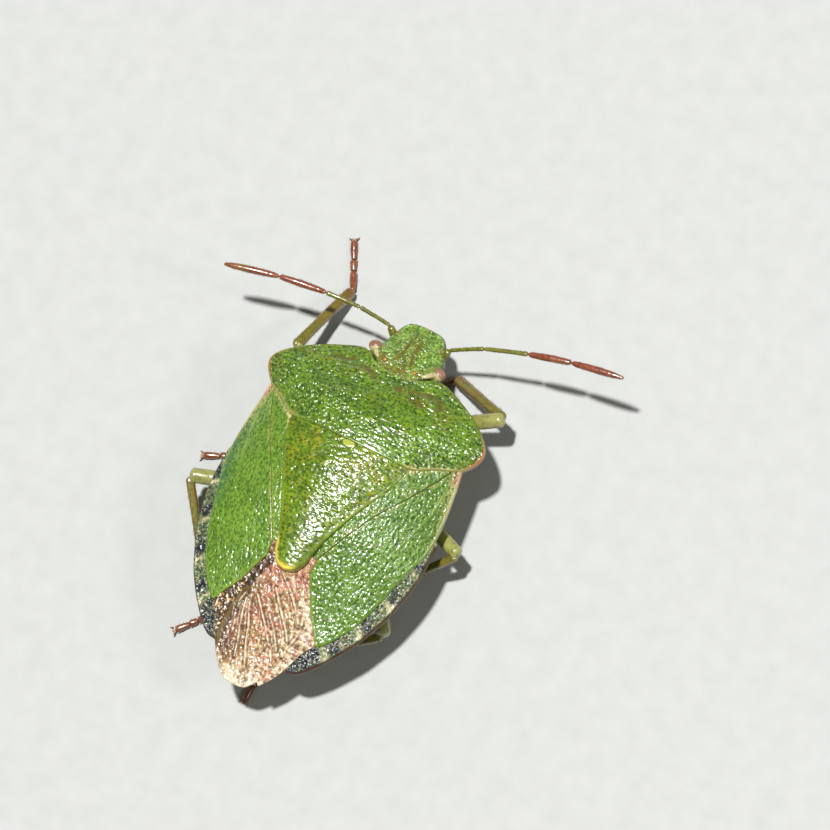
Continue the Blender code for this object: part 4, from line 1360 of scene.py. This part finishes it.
def under_face(points, _):
    """The visible underside: sockets, seams, gland, segment joints and breathing holes."""
    x, s = points.T
    half = np.column_stack([np.abs(x), s])
    to_hip, _ = nearest(half, hip_places)
    to_gland, _ = nearest(half, GLAND)
    socket = ease(0.5, 0.36, to_hip)
    brim = bell(to_hip - 0.52, 0.06)
    arch = s - 0.35 * across(x, s) ** 2 * ease(6.2, 7.4, s)
    to_joint = arch[:, None] - BELLY_JOINTS
    behind = np.where(to_joint < 0, FAR, to_joint).min(1)
    joint = bell(np.abs(to_joint).min(1), 0.03) * ease(6.2, 6.4, s)
    overlap = ease(0.3, 0.0, behind) * ease(6.2, 6.5, s)
    seam = bell(np.minimum(np.abs(s - CUTS[1]), np.abs(s - 4.9 - 0.12 * half[:, 0])), 0.03)
    seam = seam * ease(0.9, 1.2, half[:, 0]) * ease(6.2, 6.0, s)
    middles = (BELLY_JOINTS[:-1] + BELLY_JOINTS[1:]) / 2
    to_hole = np.hypot((across(x, s) - 0.78) * 3.5, np.abs(arch[:, None] - middles).min(1))
    hole, hole_rim = bell(to_hole, 0.045), bell(to_hole - 0.1, 0.04)
    gland, mat = bell(to_gland, 0.05), ease(0.42, 0.3, to_gland)
    flank = rim_depth(points, core_outline)
    kept = ease(0.25, 0.6, across(x, s)) * (1 - mat) * (1 - brim) * ease(0.1, 0.35, flank)
    pit, lip = pit_field(points, kept, ((-3.7, 1.8), (3.7, 12.1)), 0.15, 81, 0.045)
    wrinkle = wrinkled(points, 0.22, 0.09, 82)
    z = (belly(x, s) + 0.16 * socket - 0.06 * brim + 0.035 * joint + 0.03 * overlap
         + 0.045 * seam + 0.05 * gland - 0.035 * bell(to_gland - 0.1, 0.04) + 0.05 * hole
         - 0.02 * hole_rim + 0.07 * bell(x, 0.22) * ease(5.6, 5.2, s) + 0.02 * pit - 0.005 * lip
         + 0.01 * wrinkle * ease(0.1, 0.35, flank) + rolled(flank, 0.35, 0.42))
    return z, {
        "pit": 0.8 * pit + 0.6 * joint + 0.7 * seam + 0.5 * mat * ease(-0.3, 0.4, wrinkle),
        "gold": 0.6 * brim + 0.3 * ease(0, 0.7, drift(points, 0.5, 83)),
        "dark": 1.1 * hole + 0.8 * gland,
        "pale": 0.5 * hole_rim + 0.35 * bell(x, 0.5),
    }


try_out(under_face, core_outline)


# %% Build the trunk
def over_face(points, _):
    """The hidden upper side, just under the plates, and close under the thin wing tips."""
    x, s = points.T
    inside = ease(0, 0.5, rim_depth(points, core_outline))
    return back(x, s) - 0.2 - 0.28 * inside * ease(10.2, 9.0, s), {}


def straight(start, end):
    """Places along a straight cut."""
    return np.linspace(start, end, max(2, int(math.dist(start, end) / 0.05)))


for name, low, high in zip(("prothorax", "pterothorax", "abdomen"), CUTS, CUTS[1:]):
    kept = core_half[(core_half[:, 1] > low) & (core_half[:, 1] < high)]
    if low > 0:
        kept = np.vstack([straight((0, low), (kept[0, 0], low)), kept])
    if high < BODY_LENGTH:
        kept = np.vstack([kept, straight((kept[-1, 0], high), (0, high))])
    slab(name + "_hull", mirrored(kept), under_face, over_face, belly_shell, "belly_green",
         [name], step=0.035, facing=-1)

# %% [markdown]
# ## Limbs
#
# Legs, feelers and beak are tubes. A tube is a run of rings along a smooth line, with its girth
# given along the way and both ends rounded. Short bristles stand on it, each a tiny closed
# cone that leans towards the limb's tip.

# %% Tubes and bristles
LIMB_STEP = 0.035


def unit(vectors):
    """Vectors of length 1."""
    return vectors / np.linalg.norm(vectors, axis=-1, keepdims=True)


def tube(points, girth, up=(0, 0, 1), sides=20, rounding=1.0):
    """Rings along a line through the points. girth pairs a fraction of the way with a radius."""
    path = smooth_line(points, LIMB_STEP)
    gone = np.concatenate([[0], np.cumsum(np.linalg.norm(np.diff(path, axis=0), axis=1))])
    widths = smooth_line(girth, 0.02)
    caps = widths[0, 1] * rounding, widths[-1, 1] * rounding
    dome = 1 - np.cos(np.linspace(0.05, 1, 8) * math.pi / 2)
    at = np.unique(np.concatenate([dome * caps[0], gone[-1] - dome * caps[1],
                                   np.arange(caps[0], gone[-1] - caps[1], LIMB_STEP)]))
    centre = np.stack([np.interp(at, gone, path[:, k]) for k in range(3)], 1)
    run = unit(np.gradient(path, axis=0))
    run = unit(np.stack([np.interp(at, gone, run[:, k]) for k in range(3)], 1))
    side = unit(np.cross(run, up))
    rise = np.cross(side, run)
    radius = np.interp(at / gone[-1], widths[:, 0], widths[:, 1])
    for cap, from_end in zip(caps, (at, gone[-1] - at)):
        radius = radius * np.sqrt(np.clip(1 - np.clip(1 - from_end / cap, 0, 1) ** 2, 0, 1))
    turn = np.linspace(0, 2 * math.pi, sides, endpoint=False)
    spokes = (rise[:, None] * np.cos(turn)[:, None] + side[:, None] * np.sin(turn)[:, None])
    places = centre[:, None] + spokes * radius[:, None, None]
    count = len(at)
    faces = [(i * sides + k, i * sides + (k + 1) % sides, (i + 1) * sides + (k + 1) % sides,
              (i + 1) * sides + k) for i in range(count - 1) for k in range(sides)]
    faces += [tuple(range(sides))[::-1], tuple((count - 1) * sides + k for k in range(sides))]
    return {"places": places.reshape(-1, 3), "faces": faces, "spokes": spokes.reshape(-1, 3),
            "run": np.repeat(run, sides, 0), "along": np.repeat(at / gone[-1], sides),
            "turn": np.tile(turn, count), "radius": np.repeat(radius, sides)}


def bristles(places, directions, lengths, radius=0.006):
    """Closed three-sided cones that stand on the places."""
    side = unit(np.cross(directions, (0.31, 0.2, 0.93)))
    other = np.cross(directions, side)
    turns = np.arange(3) * 2 * math.pi / 3
    foot = places - directions * 0.012
    base = [foot + radius * (side * math.cos(t) + other * math.sin(t)) for t in turns]
    cones = np.stack([*base, places + directions * lengths[:, None]], 1).reshape(-1, 3)
    faces = []
    for i in range(0, len(cones), 4):
        faces += [(i, i + 1, i + 3), (i + 1, i + 2, i + 3), (i + 2, i, i + 3), (i + 2, i + 1, i)]
    return cones, faces


print("tubes with rings", LIMB_STEP, "mm apart")

# %% A finished limb segment
CLEARANCE = 0.001


def limb(name, points, girth, paint, slot, stands_for=(), bristle_count=60, bristle=0.09,
         furrow=0.0, dots=0, tints=None, **shape):
    """One tube with a rough skin, dots and bristles.

    A tint is a number, or a function of the way along and the angle away from the upper side.
    """
    seed = sum(map(ord, name))
    rng = np.random.default_rng(seed)
    form = tube(points, girth, **shape)
    places, spokes, along = form["places"], form["spokes"], form["along"]
    ground = rough(places, 0.07, seed % 50)
    away = np.abs((form["turn"] + math.pi) % (2 * math.pi) - math.pi)
    # Dents of the rough skin are darkened, as painted shade.
    fields = {"pit": 0.35 * ease(0.1, 0.8, -ground),
              "gold": 0.5 * ease(-0.1, 0.8, rough(places, 0.3, seed % 31))}
    depth = 0.006 * ground - furrow * form["radius"] * bell(away, 0.45)
    if dots:
        to_dot, _ = nearest(places, places[rng.choice(len(places), dots)])
        spot = ease(0.045, 0.015, to_dot)
        fields["pit"] = fields["pit"] + 0.45 * spot
        depth = depth - 0.01 * spot
    for label, tint in (tints or {}).items():
        amount = tint(along, away) if callable(tint) else tint
        fields[label] = fields.get(label, 0) + amount
    smooth_ends = np.minimum(1, form["radius"] / form["radius"].max() * 1.5)
    skin = places + spokes * (depth * smooth_ends)[:, None]
    chosen = rng.choice(np.flatnonzero((along > 0.04) & (along < 0.98)), bristle_count)
    lean = unit(0.75 * spokes[chosen] + 0.8 * form["run"][chosen]
                + rng.uniform(-0.25, 0.25, (bristle_count, 3)))
    lengths = bristle * rng.uniform(0.6, 1.2, bristle_count)
    cones, cone_faces = bristles(skin[chosen], lean, lengths)
    count = len(skin)
    faces = form["faces"] + [tuple(i + count for i in face) for face in cone_faces]
    for heights in (skin[:, 2], cones[:, 2]):
        heights[:] = np.maximum(heights, CLEARANCE)
    fields = {label: np.concatenate([np.broadcast_to(values, count), np.zeros(len(cones))])
              for label, values in fields.items()}
    fields["hair"] = np.concatenate([np.zeros(count), np.ones(len(cones))])
    piece(name, np.vstack([skin, cones]), faces, paint, stands_for, fields)


# %% Paint for the limbs
olive_limb = cuticle("olive_limb", (0.07, 0.085, 0.004), (0.155, 0.165, 0.015),
                     (0.16, 0.1, 0.012), (0.02, 0.02, 0.003), blush=(0.16, 0.05, 0.015),
                     pale=(0.36, 0.37, 0.12), shine=0.3, clouds=1.5)
red_limb = cuticle("red_limb", (0.11, 0.02, 0.008), (0.24, 0.055, 0.022), (0.13, 0.1, 0.015),
                   (0.04, 0.008, 0.005), dark=(0.035, 0.01, 0.007), pale=(0.45, 0.3, 0.16),
                   shine=0.3, clouds=2.5)
print("limb paints are ready")

# %% [markdown]
# ## Feelers and beak
#
# A feeler has five segments: a short thick root, two thin olive ones, and two spindles that
# turn red, with pale rings where they meet. The beak is folded back between the hips. It has
# four segments and ends in a dark point.

# %% Feelers
FEELERS = {
    "left": [(0.82, 0.74, 2.04), (1.14, 0.43, 2.42), (2.16, 0.4, 2.86), (3.3, 0.48, 3.1),
             (4.85, 0.69, 3.3), (6.6, 1.1, 3.45)],
    "right": [(-0.74, 0.72, 2.04), (-0.96, 0.36, 2.42), (-2.06, -0.06, 2.86),
              (-3.48, -0.45, 3.1), (-4.91, -0.74, 3.3), (-6.68, -0.96, 3.45)],
}
FEELER_GIRTHS = [[(0, 0.1), (0.35, 0.135), (0.8, 0.12), (1, 0.1)],
                 [(0, 0.05), (0.12, 0.062), (0.8, 0.066), (1, 0.078)],
                 [(0, 0.055), (0.12, 0.066), (0.8, 0.075), (1, 0.085)],
                 [(0, 0.055), (0.12, 0.09), (0.5, 0.116), (0.85, 0.1), (1, 0.07)],
                 [(0, 0.055), (0.12, 0.095), (0.45, 0.116), (0.8, 0.098), (1, 0.045)]]


def ring_at_ends(along, _):
    """A pale ring round each end."""
    return 0.7 * ease(0.035, 0.01, along) + 0.5 * ease(0.965, 0.99, along)


def bowed(start, end, sag):
    """Three places of a slightly bowed segment."""
    start, end = np.array(start), np.array(end)
    return [start, (start + end) / 2 + (0, 0, sag), end]


for label, joints in FEELERS.items():
    for i, girth in enumerate(FEELER_GIRTHS):
        tints = {"pale": ring_at_ends}
        if i == 0:
            tints["blush"] = 0.6
        elif i == 3:
            tints["gold"] = lambda along, away: ease(0.48, 0.25, along)
            tints["dark"] = lambda along, away: 0.5 * ease(0.55, 0.3, along)
        elif i == 4:
            tints["dark"] = lambda along, away: 0.5 * ease(0.5, 1.0, along)
        else:
            tints["blush"] = lambda along, away: 0.75 + 0.2 * ease(0.7, 1.0, along)
            tints["pit"] = 0.35
        limb(f"feeler_{label}_{i + 1}", bowed(joints[i], joints[i + 1], 0.03 if i else 0), girth,
             red_limb if i > 2 else olive_limb, "feeler_red" if i > 2 else "leg_olive",
             [f"antenna_{label}_{i + 1}"], bristle_count=(30, 90, 110, 260, 280)[i],
             bristle=0.05 if i > 2 else 0.045, sides=18)
    side = SIDES[label]
    limb("feeler_cup_" + label, [(0.5 * side, 0.95, 2.0), (0.68 * side, 0.84, 2.02),
                                 (0.87 * side, 0.71, 2.1)],
         [(0, 0.15), (0.5, 0.2), (0.9, 0.19), (1, 0.14)], olive_limb, "leg_olive",
         bristle_count=12, rounding=0.4, tints={"blush": 0.5})

# %% Beak
BEAK = [(0, 0.55, 1.7), (0, 1.6, 1.5), (0, 2.5, 1.12), (0, 3.6, 0.96), (0, 4.9, 0.9)]
for i in range(4):
    tip = i == 3
    limb(f"beak_{i + 1}", bowed(BEAK[i], BEAK[i + 1], 0.02),
         [(0, 0.09), (0.15, 0.125 - 0.008 * i), (0.8, 0.115 - 0.01 * i),
          (1, 0.03 if tip else 0.09)],
         olive_limb, "leg_olive", [] if i else ["rostrum"], bristle_count=30, bristle=0.05,
         furrow=0.25, sides=24, up=(0, 0, -1),
         tints={"pale": ring_at_ends,
                "dark": lambda along, away, tip=tip: (0.95 * ease(0.6, 0.95, along) if tip
                                                      else 0.5 * bell(away, 0.2))})

# %% [markdown]
# ## Legs
#
# Each leg has a hip in its socket, a small turning joint, a thigh, a grooved shin, a foot of
# three segments, and two claws with a soft pad under each. Thighs are dotted and pale at the
# knee. The feet are red-brown, and the pads rest flat on the floor.

# %% Where the legs stand
LEGS = {
    "fore_left": ((3.68, 2.3, 2.05), (3.4, -0.52), (4.22, -2.13)),
    "fore_right": ((-3.52, 1.56, 2.1), (-1.02, 0.64), (-0.14, 1.4)),
    "mid_left": ((3.6, 3.3, 1.95), (3.86, 5.72), (5.28, 6.33)),
    "mid_right": ((-4.24, 6.1, 1.95), (-2.24, 7.7), (-2.1, 9.0)),
    "hind_left": ((4.73, 7.43, 2.05), (2.48, 10.85), (3.32, 11.8)),
    "hind_right": ((-3.24, 9.38, 1.58), (0.15, 11.58), (0.21, 12.9)),
}
THIGH = {"fore": 0.25, "mid": 0.24, "hind": 0.26}
SHIN = {"fore": 0.18, "mid": 0.145, "hind": 0.145}
FOOT_JOINTS = [0, 0.42, 0.63, 0.97]
ANKLE_HEIGHT = 0.3
SOLE_HEIGHT = 0.115
HIP_DROP = 0.35
PAD_SOLE = 0.026
print(len(LEGS), "legs")


# %% Claws and pads
def scaled(girth, size):
    """A girth for a thicker or thinner limb."""
    return [(t, r * size) for t, r in girth]


def merged(parts):
    """Points and faces of several closed shapes as one."""
    places, faces, count = [], [], 0
    for shape, shape_faces in parts:
        places.append(shape)
        faces += [tuple(i + count for i in face) for face in shape_faces]
        count += len(shape)
    return np.vstack(places), faces


def claws_and_pads(toe, ahead):
    """Two curved claws and two flat pads in front of a toe."""
    aside = np.cross(ahead, (0, 0, 1))
    parts, tints = [], []
    ball, ball_faces = sphere(3)
    for sign in (1, -1):
        out = ahead * 0.55 + aside * sign * 0.75
        line = [toe, toe + 0.1 * out + (0, 0, 0.02), toe + 0.19 * out - (0, 0, 0.02),
                toe + 0.23 * out + ahead * 0.04 - (0, 0, toe[2] - 0.012)]
        claw = tube(line, [(0, 0.03), (0.5, 0.021), (1, 0.007)], sides=10)
        pad = ball * (0.05, 0.075, 0.035)
        pad[:, 2] = np.maximum(pad[:, 2], -PAD_SOLE)
        pad = (aside * pad[:, :1] + ahead * pad[:, 1:2] + np.array([0, 0, 1]) * pad[:, 2:]
               + toe + ahead * 0.07 + aside * sign * 0.05 - (0, 0, toe[2] - PAD_SOLE))
        parts += [(claw["places"], claw["faces"]), (pad, ball_faces)]
        tints += [0.5 + 0.5 * ease(0.2, 0.7, claw["along"]), np.zeros(len(pad))]
    pale = np.concatenate([np.full(len(tint), 0.7 if i % 2 else 0.15)
                           for i, tint in enumerate(tints)])
    return (*merged(parts), {"dark": np.concatenate(tints), "pale": pale})


print("a pad's sole lies", PAD_SOLE, "mm under its middle")

# %% Legs
for label, (knee, ankle, toe) in LEGS.items():
    pair, hand = label.split("_")
    hip_x, hip_s = HIPS[pair][0] * SIDES[hand], HIPS[pair][1]
    lift = float(belly(np.array(hip_x), np.array(hip_s)))
    hip = np.array([hip_x, hip_s, lift - HIP_DROP])
    knee, ankle, toe = np.array(knee), np.array([*ankle, ANKLE_HEIGHT]), np.array(toe)
    thigh = unit(knee - hip)
    limb("hip_" + label, [hip + (0, 0, 0.46), hip + (0, 0, 0.2), hip + 0.2 * thigh],
         [(0, 0.27), (0.45, 0.34), (0.8, 0.27), (1, 0.2)], olive_limb, "leg_olive",
         ["coxa_" + label], 40, 0.06, dots=14, up=(0, 1, 0), sides=28, rounding=0.6,
         tints={"pale": lambda along, away: 0.3 * ease(0.5, 0, along)})
    limb("turner_" + label, [hip + 0.12 * thigh, hip + 0.32 * thigh, hip + 0.52 * thigh],
         [(0, 0.14), (0.4, 0.19), (1, 0.13)], olive_limb, "leg_olive", (), 24, 0.06, dots=6)
    limb("thigh_" + label, bowed(hip + 0.42 * thigh, knee, 0.06),
         scaled([(0, 0.55), (0.15, 0.8), (0.5, 0.95), (0.85, 0.97), (1, 0.9)], THIGH[pair]),
         olive_limb, "leg_olive", ["femur_" + label], 170, 0.09, dots=70, sides=26,
         rounding=0.6, tints={"pale": lambda along, away: 0.55 * ease(0.4, 0.9, along)})
    start = knee + 0.06 * unit(ankle - knee)
    limb("shin_" + label, bowed(start, ankle, 0.04),
         scaled([(0, 0.8), (0.05, 0.98), (0.4, 0.9), (0.9, 1.02), (1, 0.95)], SHIN[pair]),
         olive_limb, "leg_olive", ["tibia_" + label], 230, 0.11, furrow=0.3, dots=30, sides=26,
         tints={"blush": lambda along, away: (0.4 * bell(away - 0.75, 0.35)
                                              + 0.7 * ease(0.8, 1.0, along)),
                "pale": lambda along, away: 0.15 * ease(0.05, 0.0, along)})
    sole = np.array([*(ankle[:2] * 0.82 + toe * 0.18), SOLE_HEIGHT + 0.045])
    end = np.array([*toe, SOLE_HEIGHT])
    middle = np.array([*(ankle[:2] * 0.5 + toe * 0.5), SOLE_HEIGHT])
    foot_line = smooth_line([ankle, sole, middle, end], LIMB_STEP)
    for i, (low, high) in enumerate(zip(FOOT_JOINTS, FOOT_JOINTS[1:])):
        part = foot_line[int(low * (len(foot_line) - 1)):int(high * (len(foot_line) - 1)) + 1]
        limb(f"foot_{label}_{i + 1}", part[[0, len(part) // 2, -1]],
             [(0, 0.075), (0.25, 0.1), (0.75, 0.118), (1, 0.095)], red_limb, "foot_red",
             [] if i else ["tarsus_" + label], 70, 0.07, sides=20, rounding=0.55,
             tints={"pale": lambda along, away: 0.5 * ring_at_ends(along, away)})
    ahead = unit(np.array([*(toe - ankle[:2]), 0]))
    tip = foot_line[int(0.95 * (len(foot_line) - 1))]
    places, faces, tints = claws_and_pads(tip, ahead)
    piece("claws_" + label, places, faces, red_limb, (), tints)
